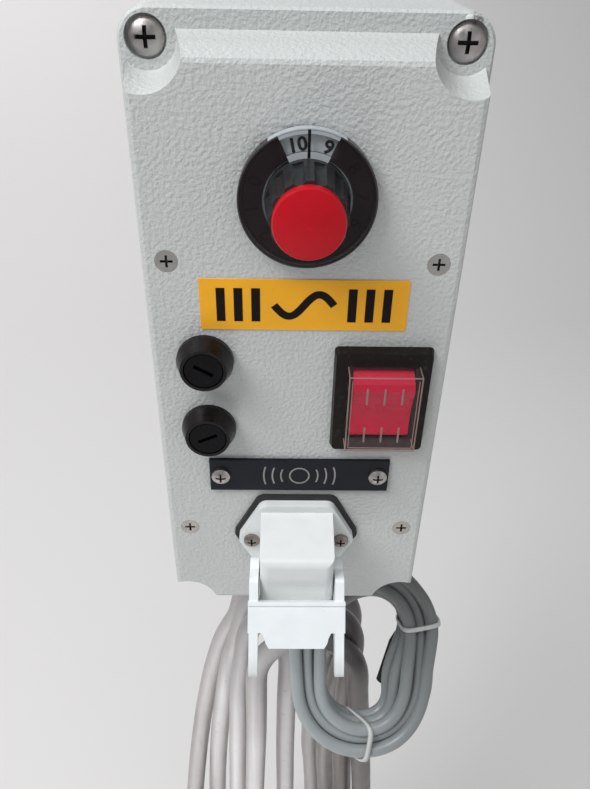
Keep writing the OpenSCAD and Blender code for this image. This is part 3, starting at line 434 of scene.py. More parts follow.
def plastic(name, colour, roughness, stain=0.06, grain=0.0008, depth=0.00003, coat=0.0, sub=0.0,
            dust=0.0, alpha=1.0, shine=0.5, darker_along=None):
    """Moulded plastic: a fine spark-eroded grain, soft stains and a little dust. The last argument holds
    (axis, from, to, colour, share), with the same columns as the sheaths' painted shade: the colour darkens
    from one place along an axis to another."""
    f = Finish(name, roughness=roughness, coat=coat, sub=sub, alpha=alpha, ior=1.47, shine=shine)
    f.colour(colour, stain, 0.006)
    f.bump(f.noise(grain, 2), depth, 0.5)
    f.roughness(f.noise(0.003, 2), roughness * 0.85, roughness * 1.2)
    if dust:
        f.over(f.spread(f.noise(0.0016, 5, 0.7), 0.56, 0.72), (0.42, 0.40, 0.37), dust)
    if darker_along:
        axis, fade_from, fade_to, dark, share = darker_along
        # darker from one place along an axis to another
        f.over(f.spread(f.axis(axis), fade_from, fade_to), dark, share)
    return f.material


def sheath(name, colour, painted_shade, stain=0.07, side_shade_and_streaks=0.0):
    """A cable's vinyl sheath: a little soiled, with shallow waves along it. The third argument holds painted
    shade as (axis, from, to, colour, share): the sheath darkens from one place along an axis to another. The
    last argument is the share of painted brown shade on the sides that face left and right, where hanging
    strands lie side by side, and of long brown streaks of soil along them."""
    f = Finish(name, roughness=0.36, coat=0.10)
    f.colour(colour, stain, 0.018, 5)
    f.bump(f.noise(0.011, 2), 0.0004, 0.35).bump(f.noise(0.0007, 2), 0.00003, 0.4)
    f.over(f.spread(f.noise(0.0045, 5, 0.7), 0.60, 0.74), (0.27, 0.24, 0.22), 0.30)
    if side_shade_and_streaks:
        side_shade_and_dirt = (0.17, 0.14, 0.125)
        # painted shade: the sides that face left and right darken, where strands lie side by side
        f.over(f.spread(f.sideways(), 0.35, 0.95), side_shade_and_dirt, side_shade_and_streaks)
        # long brown streaks of soil along the strands, in the same colour
        f.over(f.spread(f.noise(0.0060, 3, 0.55, stretch=(1, 1, 0.04)), 0.52, 0.66), side_shade_and_dirt, 0.3 * side_shade_and_streaks)
    # painted shade: each entry darkens the sheath from one place along an axis to another
    for axis, fade_from, fade_to, dark, share in painted_shade:
        f.over(f.spread(f.axis(axis), fade_from, fade_to), dark, share)
    f.roughness(f.noise(0.006, 3), 0.28, 0.46)
    return f.material


def see_through(name, colour, alpha, roughness, shine):
    """Clear plastic as a thin tinted film that dulls what lies behind it."""
    f = Finish(name, roughness=roughness, alpha=alpha, ior=1.49, shine=shine)
    f.colour(colour, 0.05, 0.004)
    f.bump(f.noise(0.0012, 2), 0.00003, 0.4)
    f.roughness(f.noise(0.003, 3), roughness * 0.7, roughness * 1.6)
    return f.material


def dress(material, *names):
    """Gives named CAD nodes their finish."""
    for name in names:
        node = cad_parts[name]
        if not node.data.materials:
            node.data.materials.append(material)
        for k in range(len(node.material_slots)):
            node.material_slots[k].material = material


# -------- the stage and the camera

LENS = 32.14                          # focal length on a 36 mm wide sensor
CAMERA_AT = (-4.77, -208.8, 103.25)
CAMERA_RIGHT = (0.9998, -0.0109, 0.0184)
CAMERA_FORWARD = (0.0194, 0.8259, -0.5635)
FLOOR_Z = -0.47
FLOOR_FRONT, RISE_FROM, RISE_TO = -3.0, 0.9, 2.6
RISE = 1.4
FLOOR_HALF_WIDTH = 3
# the lamps: name, place, what it points at, side of its square, power and tint
LAMPS = (
    ("window", (-0.60, -0.42, 0.85), (0, -0.05, -0.02), 0.55, 10.7, (0.98, 0.99, 1)),
    ("ceiling", (0.05, -0.40, 1.15), (0, -0.05, 0), 0.6, 3.1, (1, 1, 0.99)),
    ("fill", (0.9, -0.9, 0.1), (0, -0.05, -0.1), 0.9, 1.2, (1, 0.99, 0.98)),
    ("low", (-0.14, -0.38, -0.40), (0, -0.03, -0.22), 0.16, 0.42, (1, 0.99, 0.98)),
    ("backdrop", (-0.8, 1.1, 1.0), (-0.5, 1.2, FLOOR_Z), 0.7, 9.0, (1, 0.99, 1)),
)


class CONTROLLER_OT_stage(Operator):
    """Set the camera, the pale floor with its rising backdrop, and soft studio light."""
    bl_idname = "controller.stage"
    bl_label = "Stage"

    def execute(self, context):
        scene = context.scene
        scene.view_settings.view_transform = "Standard"
        lens = bpy.data.cameras.new("camera")
        lens.sensor_fit = "AUTO"
        lens.sensor_width = 36.0
        lens.lens = LENS
        lens.clip_start = 0.01
        right = Vector(CAMERA_RIGHT).normalized()
        forward = Vector(CAMERA_FORWARD).normalized()
        turn = Matrix((right, right.cross(forward), -forward)).transposed()
        scene.camera = shown("camera", lens)
        scene.camera.matrix_world = Matrix.Translation(Vector(CAMERA_AT) * MM) @ turn.to_4x4()

        # floor and backdrop in one sheet: y runs back, the height rises as a soft quarter turn
        rows, cols = 60, 3
        y = np.linspace(FLOOR_FRONT, RISE_TO, rows)
        z = FLOOR_Z + RISE * ease((y - RISE_FROM) / (RISE_TO - RISE_FROM))
        x = np.linspace(-FLOOR_HALF_WIDTH, FLOOR_HALF_WIDTH, cols)
        grid = points_of(x[None, :], y[:, None], z[:, None])
        first = (np.arange(rows - 1)[:, None] * cols + np.arange(cols - 1)).reshape(-1, 1)
        quads = first + np.array([0, 1, cols + 1, cols])
        mesh = bpy.data.meshes.new("floor")
        mesh.from_pydata(grid.reshape(-1, 3).tolist(), [], quads.tolist())
        mesh.polygons.foreach_set("use_smooth", np.full(len(mesh.polygons), True))
        floor = shown("floor", mesh)
        chalk = bpy.data.materials.new("chalk floor")
        chalk.use_nodes = True
        shader = chalk.node_tree.nodes["Principled BSDF"]
        shader.inputs["Base Color"].default_value = (0.80, 0.785, 0.77, 1)
        shader.inputs["Roughness"].default_value = 0.9
        mesh.materials.append(chalk)

        world = bpy.data.worlds.new("studio")
        world.use_nodes = True
        world.node_tree.nodes["Background"].inputs["Color"].default_value = (0.93, 0.96, 1.0, 1)
        world.node_tree.nodes["Background"].inputs["Strength"].default_value = 0.27
        scene.world = world
        for name, at, aim, size, power, colour in LAMPS:
            lamp = bpy.data.lights.new(name, "AREA")
            lamp.shape = "SQUARE"
            lamp.size = size
            lamp.energy = power
            lamp.color = colour
            holder = shown(name, lamp)
            holder.location = at
            holder.visible_glossy = name != "low"
            holder.visible_camera = False
            holder.rotation_euler = (Vector(aim) - Vector(at)).to_track_quat("-Z", "Y").to_euler()
        return {"FINISHED"}


# -------- cables

# the hank's planes, front to back: its loops A to D, and L for the lead that comes down in the middle
PLANES = {"A": -38.9, "B": -30.3, "L": -21.7, "C": -13.1, "D": -4.5}
LEAD_Y = -22
HANK_LOW = -362.0     # where the folds below begin
FRONT_LEAN = 2.6      # how far the front fold leans back under the ring
SLIDE = 75            # height over which a run slides to its plane
PLUG_AT = (-52, LEAD_Y, -312)
FORWARD_FROM, FORWARD_BY = -232, 68      # where the last run comes forward to the plug, and over what height
# the lead down the middle, then each loop: its plane, its run up on the right and its run down on the
# left, both as (x, z) points from the shoulder downwards
LEAD = ((-10.5, -106), (-10.5, -110), (-10.4, -115), (-9.8, -120.5), (-8.6, -126.5), (-7, -133), (-4.6, -141),
        (-1.6, -152), (-0.6, -165), (-1.2, -190), (-1.4, -231), (-1.0, -273), (-6, -325), (-11.5, HANK_LOW))
LOOPS = (
    ("A", ((27.0, -148), (28.8, -172), (30.6, -190), (32.5, -212), (34.6, -238), (37.5, -290),
           (41, HANK_LOW)),
     ((-13.8, -148), (-13.9, -163), (-14.2, -190), (-14.8, -211), (-15.6, -238), (-17, -300),
      (-19, HANK_LOW))),
    ("B", ((25.5, -139), (24.3, -165), (23.8, -185), (25.2, -224), (27.0, -256), (31.5, HANK_LOW)),
     ((-18.3, -139), (-21.0, -164), (-22.7, -207), (-24, -250), (-28, HANK_LOW))),
    ("C", ((26.5, -146), (24.0, -172), (20.5, -202), (18.9, -250), (21.0, -290), (21.5, HANK_LOW)),
     ((-20.5, -146), (-26.4, -173), (-31.1, -208), (-34.2, -238), (-37.3, -289), (-39, HANK_LOW))),
    ("D", ((25, -147), (21.0, -167), (15.5, -192), (11.8, -225), (11.6, -256), (13.0, -275), (14.6, -308),
           (13, HANK_LOW)),
     ((-21.9, -148), (-30.6, -171), (-37.7, -202), (-45.6, -254), (-50.3, -300), (-52, -312))),
)


def run_x(run, z):
    """x of a hanging run at height z: a cubic between each two of its points, upright at both ends, with
    the harmonic mean of its neighbours' slopes at each point between."""
    x, down = np.array(run, float).T
    down = -down
    step = np.diff(down)
    slope = np.diff(x) / step
    same = slope[:-1] * slope[1:] > 0
    mean = np.where(same, 2 * slope[:-1] * slope[1:] / np.where(same, slope[:-1] + slope[1:], 1), 0)
    slopes = np.concatenate([[0], mean, [0]])
    k = np.clip(np.searchsorted(down, -z, side="right") - 1, 0, len(step) - 1)
    t = (-z - down[k]) / step[k]
    return (x[k] * (1 + 2 * t) * (1 - t) ** 2 + x[k + 1] * t * t * (3 - 2 * t)
            + step[k] * (slopes[k] * t * (1 - t) ** 2 - slopes[k + 1] * t * t * (1 - t)))


def supply_path():
    """The supply cable's middle line: down out of its gland, then four loops. Each loop is a half circle
    below, a run up on the right, a half circle above and a run down on the left, in a plane of its own;
    it slides to that plane on its way up. The last run comes forward to the plug."""
    parts = []

    def add(x, y, z):
        parts.append(points_of(x, y, z))

    z = np.linspace(LEAD[0][1], HANK_LOW, 140)
    add(run_x(LEAD, z), LEAD_Y + 0.3 * ease((LEAD[1][1] - z) / 16), z)
    x_from, y_from = LEAD[-1][0], PLANES["L"]
    t = np.linspace(0, np.pi, 60)[1:-1]
    for plane, right, left in LOOPS:
        y_to = PLANES[plane]
        half = (right[-1][0] - x_from) / 2
        add(x_from + half * (1 - np.cos(t)), y_from, HANK_LOW - half * np.sin(t))
        top = right[0][1]
        z = np.linspace(HANK_LOW, top, 90)
        add(run_x(right, z), y_from + (y_to - y_from) * ease((z - HANK_LOW) / SLIDE), z)
        half = (right[0][0] - left[0][0]) / 2
        lean = FRONT_LEAN if plane == "A" else 0.0
        add(left[0][0] + half * (1 + np.cos(t)), y_to + lean * np.sin(t) ** 2,
            top + half * np.sin(t) + (left[0][1] - top) * t / np.pi)
        z = np.linspace(left[0][1], left[-1][1], 80)
        forward = ease((FORWARD_FROM - z) / FORWARD_BY) if plane == "D" else 0.0
        add(run_x(left, z), y_to + (PLUG_AT[1] - y_to) * forward, z)
        x_from, y_from = left[-1][0], y_to
    return smoothed(np.vstack(parts), 3.0) * MM


# the ring of the sensor cable, in millimetres: a bundle of turns whose middle line is a stadium
RING_AT = np.array([26.6, -47.6, -123.6])
RING_TURN = math.radians(4.5)
RING_LEAN = math.radians(30)
RING_R = 20.9         # half the width between the bundle's middles
RING_H = 9.5          # half the height of its straight sides
RING_LONG = 4 * RING_H + 2 * math.pi * RING_R
RING_START, RING_END = 0.10, 0.06     # shares of a turn left out at the first and the last
PASS_FROM, PASS_BY = 0.70, 0.28       # where in a turn a strand changes place, and over what share
TURN_POINTS = 44
FAN_FROM, FAN_LONG = 2.5, 50.0        # the bundle opens this far before the side tie, and closes past it
FAN = (4.1, 2.6, 0.9, -0.9, -6.0, -9.2, -3.2, -11.6)     # each turn's place outwards where it is widest
SIDE_TIE = math.radians(7)            # the two ties' places round the bends, from the straight sides
LOW_TIE = math.radians(12)
SENSOR_ROUTE = (
    (12.5, -17, -102), (12.6, -17, -105), (14.4, -16.9, -108.2), (18.4, -16.7, -110.2),
    (24, -16.8, -111), (30, -17.6, -111), (36, -19.8, -110.6), (41, -23.6, -110.4),
    (44.2, -28.4, -111.2), (45.6, -33.4, -113.2),
)
# where the cable goes back into the ring to its sleeved end, across, back and up in the ring's own frame
TAIL = ((18.4, 6.2, 13.4), (17.9, 8.6, 9.0), (17.2, 10.1, 4.6), (16.7, 10.3, 2.8), (16.2, 10.3, 1.4))
# places of the strands in the bundle: outwards and backwards from its middle, in cable diameters
SLOTS = ((0.87, 1.0), (0.87, 0.0), (0.87, -1.0), (0.0, -0.5), (-0.87, -1.0), (-0.87, 0.0), (0.0, 0.5),
         (-0.87, 1.0))


def in_ring(u, n, w):
    """Points of the leaning ring's own frame, u across, n back and w up, as points of the frame in mm."""
    back = n * math.cos(RING_LEAN) + w * math.sin(RING_LEAN)
    up = -n * math.sin(RING_LEAN) + w * math.cos(RING_LEAN)
    return RING_AT + points_of(u * math.cos(RING_TURN) - back * math.sin(RING_TURN),
                               u * math.sin(RING_TURN) + back * math.cos(RING_TURN), up)


def around_ring(share):
    """Middle line and outward direction a share of one turn on from the right side's upper end:
    down the right side, round below, up the left side and over the top."""
    straight, bend = 2 * RING_H, math.pi * RING_R
    s = (share % 1.0) * RING_LONG
    a = np.clip((s - straight) / bend, 0, 1) * np.pi
    b = np.clip((s - 2 * straight - bend) / bend, 0, 1) * np.pi
    turn = -(a + b)
    out = np.stack([np.cos(turn), np.sin(turn)], -1)
    w = np.where(s < straight + bend / 2, RING_H - np.minimum(s, straight), -RING_H)
    rising = np.clip(s - straight - bend, 0, straight)
    w = np.where(s >= straight + bend, -RING_H + rising, w)
    return out[:, 0] * RING_R, w + out[:, 1] * RING_R, out


def sensor_path():
    """The sensor cable's middle line: its free lead behind the ring, then the turns. A strand keeps its
    place in the bundle for most of a turn, with a slow wander of its own, and changes place behind the
    lid. Between the two ties the bundle opens inwards like a fan, each turn in its own place."""
    turns = len(SLOTS)
    share = np.linspace(RING_START, turns - RING_END, TURN_POINTS * turns)
    k = np.minimum(share.astype(int), turns - 1)
    slots = np.array(SLOTS + (SLOTS[-1],)) * sizes().sensor_d / MM
    pass_on = ease((share - k - PASS_FROM) / PASS_BY)[:, None]
    offset = slots[k] * (1 - pass_on) + slots[np.minimum(k + 1, turns)] * pass_on
    u, w, out = around_ring(share)

    # the wander, in millimetres: a little on the right side, more round the rest of a turn
    right = np.sin(np.pi * np.clip((share % 1.0 - 0.02) / 0.36, 0, 1)) ** 2
    rest = np.sin(np.pi * np.clip((share % 1.0 - 0.36) / 0.60, 0, 1)) ** 2
    wander = 0.55 * right + 0.8 * rest
    phase = k * 2.4
    fan = np.sin(np.pi * np.clip(((share - k) * RING_LONG + FAN_FROM) / FAN_LONG, 0, 1)) ** 2
    r = offset[:, 0] * (1 - fan) + np.array(FAN)[k] * fan + wander * np.sin(share * 11.0 + phase)
    n = offset[:, 1] + wander * np.cos(share * 9.0 + phase * 1.7)
    ring = in_ring(u + out[:, 0] * r, n, w + out[:, 1] * r)
    tail = in_ring(*np.array(TAIL).T)
    return smoothed(np.vstack([SENSOR_ROUTE, ring, tail]), 1.6) * MM


def strap(name, middle, side, depth, along, w, h, band, thick, material, lean=0.0):
    """A closed band round a bundle: a superellipse w by h in the plane of side and depth, leaning by
    lean times the depth, with a rectangle, band wide and thick deep, carried round it."""
    inner = superellipse(w, h, 4.5)
    outer = superellipse(w + 2 * thick, h + 2 * thick, 4.5)
    m, s, p, q = (np.asarray(v, float) for v in (middle, side, depth, along))

    def at(points, shift):
        return m + points[:, :1] * s + points[:, 1:] * p + (shift + lean * points[:, 1:]) * q

    grid = np.stack([at(inner, -band / 2), at(outer, -band / 2 * 0.8), at(outer, band / 2 * 0.8),
                     at(inner, band / 2)], 1)
    return skins(name, [grid * MM], material, ring=True)


# the plug, in millimetres: a ribbed neck, a waisted body below it, and two pins
PLUG_H = 38
NECK_H = 9
NECK_WIDE, NECK_DEEP = (12.0, 3.4), (10.4, 2.0)     # at its top, and how much it grows downwards
BODY_WIDE, BODY_DEEP = (36, 3.5), (16, 2.2)         # at its ends, and how much the waist takes
RIB, RIB_PITCH = 0.5, 2.1
PIN_APART = 9.5
PIN = ((2.0, 0), (2.0, 17.2), (1.85, 18.2), (1.2, 19.0))


def plug_grid():
    """The plug's moulding: superellipses down its height, waisted for the fingers, its neck ribbed."""
    t = np.linspace(0, 1, 40)
    down = t * PLUG_H
    neck = down < NECK_H
    ribs = RIB * np.sign(np.sin(down * RIB_PITCH))
    waist = np.sin(np.pi * (down - NECK_H) / (PLUG_H - NECK_H)) ** 2
    wide, deep = (np.where(neck, top + grow * down / NECK_H + ribs, ends - drawn * waist)
                  for (top, grow), (ends, drawn) in ((NECK_WIDE, BODY_WIDE), (NECK_DEEP, BODY_DEEP)))
    grid = []
    for k in range(len(t)):
        ring = superellipse(deep[k], wide[k], 2.3 if neck[k] else 3.4, 40)
        grid.append(PLUG_AT + points_of(ring[:, 0], ring[:, 1], -down[k]))
    return np.stack(grid) * MM


class CONTROLLER_OT_supply_cable(Operator):
    """Lay the thick supply cable in its hanging hank, with its tie and its moulded plug."""
    bl_idname = "controller.supply_cable"
    bl_label = "Supply cable"

    def execute(self, context):
        # painted shade: the strands on the right darken as in the shade of the ring and connector, the
        # leftmost strand's outer side darkens, and the strands darken up under the box; their sides get
        # painted shade as well
        vinyl = sheath("supply sheath", colours().supply, (
            ("X", 0.008, 0.024, (0.08, 0.065, 0.058), 0.90),
            ("X", -0.030, -0.048, (0.25, 0.22, 0.20), 0.5),
            ("Z", -0.200, -0.115, (0.16, 0.15, 0.145), 0.70)), side_shade_and_streaks=0.6)
        line = cable("supply_cable", supply_path(), sizes().supply_d, vinyl)
        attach(line, "case")
        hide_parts("supply_lead", "supply_coil")

        nylon = plastic("tie nylon", (0.78, 0.78, 0.75), 0.35, sub=0.15)
        tie = strap("supply_tie_band", (2, -26.0, -384.4), (0, 1, 0), (0, 0, 1), (1, 0, 0),
                    34.8, 17.6, 3.6, 1.0, nylon)
        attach(tie, "case")
        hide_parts("supply_tie")

        plug = skins("supply_plug_moulding", [plug_grid()],
                     plastic("plug rubber", (0.022, 0.022, 0.022), 0.5, dust=0.10))
        x, y, down = lathe(PIN, 24)
        pins = [(PLUG_AT + points_of(x, y + s * PIN_APART, -PLUG_H - down)) * MM for s in (-1, 1)]
        prongs = skins("supply_plug_pins", pins, metal("pin nickel", (0.66, 0.64, 0.58), 0.25))
        for piece in (plug, prongs):
            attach(piece, "case")
        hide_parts("supply_plug")
        return {"FINISHED"}


class CONTROLLER_OT_sensor_cable(Operator):
    """Wind the thin sensor cable into its leaning ring, with two ties and its sleeved end."""
    bl_idname = "controller.sensor_cable"
    bl_label = "Sensor cable"

    def execute(self, context):
        # painted shade: the ring darkens towards the right, and the cable darkens up under the box
        vinyl = sheath("sensor sheath", colours().sensor, (
            ("X", 0.018, 0.050, (0.11, 0.11, 0.11), 0.45),
            ("Z", -0.125, -0.095, (0.10, 0.09, 0.085), 0.6)), 0.05)
        line = cable("sensor_cable", sensor_path(), sizes().sensor_d, vinyl)
        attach(line, "case")
        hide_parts("sensor_lead", "sensor_coil")
        nylon = plastic("bag tie", (0.62, 0.64, 0.62), 0.3, sub=0.1, alpha=0.9)
        side, back, up = in_ring(*np.eye(3)) - RING_AT
        c, s = math.cos(SIDE_TIE), math.sin(SIDE_TIE)
        first = strap("side_tie", in_ring(RING_R * c, 0, RING_H + RING_R * s), side * c + up * s, back,
                      up * c - side * s, 13.6, 15.0, 1.7, 0.6, nylon)
        c, s = math.cos(LOW_TIE), math.sin(LOW_TIE)
        second = strap("lower_tie", in_ring(-RING_R * s, 0, -RING_H - RING_R * c), -side * s - up * c, back,
                       side * c - up * s, 13.8, 15.2, 1.7, 0.6, nylon, lean=-0.55)
        for piece in (first, second):
            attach(piece, "case")
        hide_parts("sensor_ties")
        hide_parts("sensor_ties")
        dress(plastic("sleeve", (0.018, 0.018, 0.018), 0.42, dust=0.05), "sensor_end")
        return {"FINISHED"}


# -------- the box and its fixings

class CONTROLLER_OT_enclosure(Operator):
    """Finish the painted box and lid, their seal, screws, glands and the parts behind the panel."""
    bl_idname = "controller.enclosure"
    bl_label = "Enclosure"

    def execute(self, context):
        dress(textured_paint("box paint"), "base_box")
        dress(textured_paint("lid paint", chip=True), "lid")
        dress(plastic("seal rubber", (0.03, 0.03, 0.03), 0.7), "lid_seal")
        dress(metal("lid screw steel", (0.46, 0.43, 0.42), 0.38,
                    heads=((0, 0), (33.9, 81.5), 45.37, 7.8)), "lid_screws")
        # painted shade on the panel screws below the panel's face
        dress(metal("panel screw steel", (0.52, 0.50, 0.48), 0.36, shade_below=(-0.05685, -0.05670)),
              "panel_screws")
        dress(metal("brass spacer", (0.62, 0.45, 0.18), 0.35), "board_spacers")
        dress(plastic("board lacquer", (0.012, 0.11, 0.03), 0.3, 0.2, 0.0015, 0.00006), "circuit_board")
        dress(metal("board screw steel", (0.60, 0.60, 0.58), 0.3), "board_screws")
        dress(metal("sink aluminium", (0.55, 0.56, 0.57), 0.45), "heat_sink")
        dress(plastic("device epoxy", (0.02, 0.02, 0.02), 0.45), "triac")
        dress(plastic("capacitor film", (0.62, 0.45, 0.03), 0.3), "filter_capacitor")
        dress(metal("choke copper", (0.55, 0.24, 0.08), 0.3, 0.0004), "choke")
        dress(plastic("terminal green", (0.02, 0.16, 0.05), 0.45), "terminal_block")
        dress(plastic("gland grey", (0.26, 0.27, 0.28), 0.5, grain=0.0012), "supply_gland",
              "supply_gland_nut", "sensor_gland", "sensor_gland_nut", "gland_locknuts")
        return {"FINISHED"}


# -------- the dial

# each digit and its place round the dial, in degrees clockwise from the top
DIAL_NUMBERS = ((0, -70), (1, -100), (2, -130), (3, -160), (4, 175), (5, 145), (6, 115), (7, 85), (8, 54),
                (9, 20), (10, -11.5))
# in millimetres: radii about the dial's middle, and heights above the panel
DIGIT_R, DIGIT_OUT = 11.9, 2.03
INDEX_FROM, INDEX_TO, INDEX_WIDTH = 9.4, 15.2, 0.62
INDEX_LOW, INDEX_HIGH = 3.43, 3.47
COVER_RIM = ((14.75, 3.30), (15.05, 3.46), (15.22, 3.36), (15.22, 3.1), (14.75, 3.1))
# painted highlights along the window's clear edges, each a ring sector of pale plastic: inner and outer
# radius, height from and to, and its angles from the top. They are a strip round the cover's side, one over
# its rim and one by the knob
WINDOW_HIGHLIGHTS = ((15.26, 15.36, 0.75, 3.42, -34, 31), (14.30, 15.32, 3.405, 3.44, -25.5, 25.5),
                (9.35, 10.75, 3.405, 3.44, -25.5, 25.5))


class CONTROLLER_OT_dial(Operator):
    """Finish the knob, its red cap and its smoked cover, and print the numbered scale under it."""
    bl_idname = "controller.dial"
    bl_label = "Speed dial"

    def execute(self, context):
        dress(plastic("dial base", (0.03, 0.03, 0.03), 0.5), "dial_base")
        dress(see_through("smoked cover", (0.014, 0.008, 0.009), 0.74, 0.12, 0.35), "dial_cover")
        dress(see_through("clear window", (0.60, 0.64, 0.66), 0.02, 0.08, 0.15), "dial_window")
        dress(plastic("scale silver", (0.60, 0.65, 0.68), 0.4, shine=0.3), "scale_disc")
        dress(plastic("knob black", (0.022, 0.022, 0.023), 0.36, grain=0.0006, dust=0.05), "knob_body")
        dress(plastic("knob cap", colours().cap, 0.32, 0.04, 0.0012, 0.00001, coat=0.1, shine=0.2),
              "knob_cap")
        dress(metal("shaft steel", (0.55, 0.54, 0.50), 0.3), "pot_shaft", "pot_nut")
        dress(metal("pot casing", (0.45, 0.45, 0.44), 0.4), "pot_body")
        ink = plastic("scale ink", (0.006, 0.006, 0.008), 0.5, shine=0.2)
        for value, angle in DIAL_NUMBERS:
            a = math.radians(angle)
            digits = number(str(value), sizes().digit, DIAL[0] + DIGIT_R * math.sin(a),
                            DIAL[1] + DIGIT_R * math.cos(a), DIGIT_OUT, angle, ink, "digit_%d" % value)
            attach(digits, "knob")
        path = [(DIAL[0], DIAL[1] + r) for r in (INDEX_FROM, INDEX_TO)]
        line = skins("index_line", [stroke(path, INDEX_WIDTH, INDEX_LOW, INDEX_HIGH)], ink, smooth=False)
        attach(line, "case")
        x, z, h = lathe(COVER_RIM, 96)
        rim = skins("cover_rim", [on_panel(x + DIAL[0], z + DIAL[1], h)],
                    plastic("cover rim", (0.05, 0.05, 0.05), 0.25), ring=True)
        # painted highlights: pale strips along the window's clear edges
        edges = []
        for r_in, r_out, low, high, left, right in WINDOW_HIGHLIGHTS:
            turn = np.radians(np.linspace(left, right, 40))[:, None]
            r, h = np.array([(r_in, low), (r_out, low), (r_out, high), (r_in, high)]).T
            edges.append(on_panel(DIAL[0] + np.sin(turn) * r, DIAL[1] + np.cos(turn) * r, h))
        clear = skins("window_highlights", edges, plastic("window highlight", (0.42, 0.46, 0.48), 0.3), smooth=False)
        for piece in (rim, clear):
            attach(piece, "case")
        return {"FINISHED"}


# -------- fuses and switch

class CONTROLLER_OT_fuses(Operator):
    """Finish the two fuse holders and their slotted caps."""
    bl_idname = "controller.fuses"
    bl_label = "Fuse holders"

    def execute(self, context):
        dress(plastic("holder phenolic", (0.006, 0.004, 0.004), 0.30, grain=0.0010, dust=0.04, shine=0.3),
              "fuse_holder_upper", "fuse_holder_lower", "fuse_nuts")
        dress(plastic("fuse cap", (0.003, 0.003, 0.004), 0.26, dust=0.01, shine=0.15),
              "fuse_cap_upper", "fuse_cap_lower")
        dress(metal("fuse ends", (0.62, 0.60, 0.55), 0.3), "fuse_upper", "fuse_lower")
        return {"FINISHED"}


# the splash cover, in millimetres: half its width and height, its front face and its foot above the panel
COVER_HALF = np.array([9.0, 11.3])
COVER_FACE, COVER_FOOT = 7.70, 2.6
COVER_INNER = 0.92    # its face's inner outline, as a share of the outer
RIB_AT, RIB_HALF, RIB_OUT = (4.4, 5.9), 2.3, 7.98


class CONTROLLER_OT_switch(Operator):
    """Finish the rocker switch, with its red rocker under a soft clear cover."""
    bl_idname = "controller.switch"
    bl_label = "Rocker switch"

    def execute(self, context):
        dress(plastic("switch bezel", (0.007, 0.005, 0.004), 0.40, grain=0.0012, depth=0.00005, dust=0.07,
                      shine=0.25), "switch_body")
        dress(metal("tab tin", (0.6, 0.6, 0.58), 0.3), "switch_terminals")
        dress(plastic("rocker red", colours().rocker, 0.30, 0.05, shine=0.2), "rocker")
        dress(see_through("splash vinyl", (0.40, 0.30, 0.28), 0.035, 0.10, 0.3), "splash_cover")
        # the cover's edges and grip ribs catch the light as thin pale lines
        corners = SWITCH + COVER_HALF * [(-1, -1), (1, -1), (1, 1), (-1, 1), (-1, -1)]
        inner = SWITCH + COVER_INNER * (corners - SWITCH)
        bars = [bar(corners[k], corners[k + 1], COVER_FACE, COVER_FACE, 0.26) for k in range(4)]
        bars += [bar(inner[k], inner[k + 1], COVER_FACE, COVER_FACE, 0.18) for k in (0, 1, 3)]
        bars += [bar(corners[k], corners[k], COVER_FOOT, COVER_FACE, 0.22) for k in range(4)]
        for x in (-RIB_AT[0], 0, RIB_AT[0]):
            for z in (-RIB_AT[1], RIB_AT[1]):
                middle = np.add(SWITCH, (x, z))
                bars.append(bar(middle - (0, RIB_HALF), middle + (0, RIB_HALF), RIB_OUT, RIB_OUT, 0.36))
        lines = skins("splash_lines", bars,
                      plastic("vinyl edges", (0.29, 0.20, 0.18), 0.3, dust=0.1, shine=0.3), smooth=False)
        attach(lines, "case")
        return {"FINISHED"}


# -------- label and plate

# the prints, in millimetres; heights are above the panel
LABEL_LOW, LABEL_HIGH = 0.26, 0.31
WAVE_HALF, WAVE_RISE, WAVE_WIDTH = 7.2, 2.9, 1.9
BARS_FROM, BARS_PITCH, BAR_HALF, BAR_WIDTH = 11.6, 4.2, 4.4, 2.1
PLATE_LOW, PLATE_HIGH = 1.005, 1.035
RING_RADIUS, ARC_RADII, ENGRAVED = 2.7, (5.2, 7.6, 10.0), 0.42


class CONTROLLER_OT_label(Operator):
    """Print plain shapes on the yellow label: a wave for alternating current and upright bars."""
    bl_idname = "controller.label"
    bl_label = "Label"

    def execute(self, context):
        f = Finish("label vinyl", roughness=0.38)
        f.colour(colours().label, 0.05, 0.01)
        f.bump(f.noise(0.0012, 2), 0.00004, 0.4)
        f.over(f.spread(f.noise(0.0008, 4, 0.7), 0.64, 0.72), (0.25, 0.12, 0.03), 0.35)
        dress(f.material, "voltage_label")
        ink = plastic("label ink", (0.006, 0.003, 0.002), 0.42, dust=0.02, shine=0.2)
        cx, cz = LABEL
        t = np.linspace(-1, 1, 60)
        paths = [(np.stack([cx + WAVE_HALF * t, cz + WAVE_RISE * np.sin(np.pi * t)], -1), WAVE_WIDTH)]
        for k in range(3):
            for s in (-1, 1):
                x = cx + s * (BARS_FROM + BARS_PITCH * k)
                paths.append(([(x, cz - BAR_HALF), (x, cz + BAR_HALF)], BAR_WIDTH))
        marks = skins("label_marks", [stroke(path, width, LABEL_LOW, LABEL_HIGH) for path, width in paths],
                      ink, smooth=False)
        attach(marks, "case")
        return {"FINISHED"}


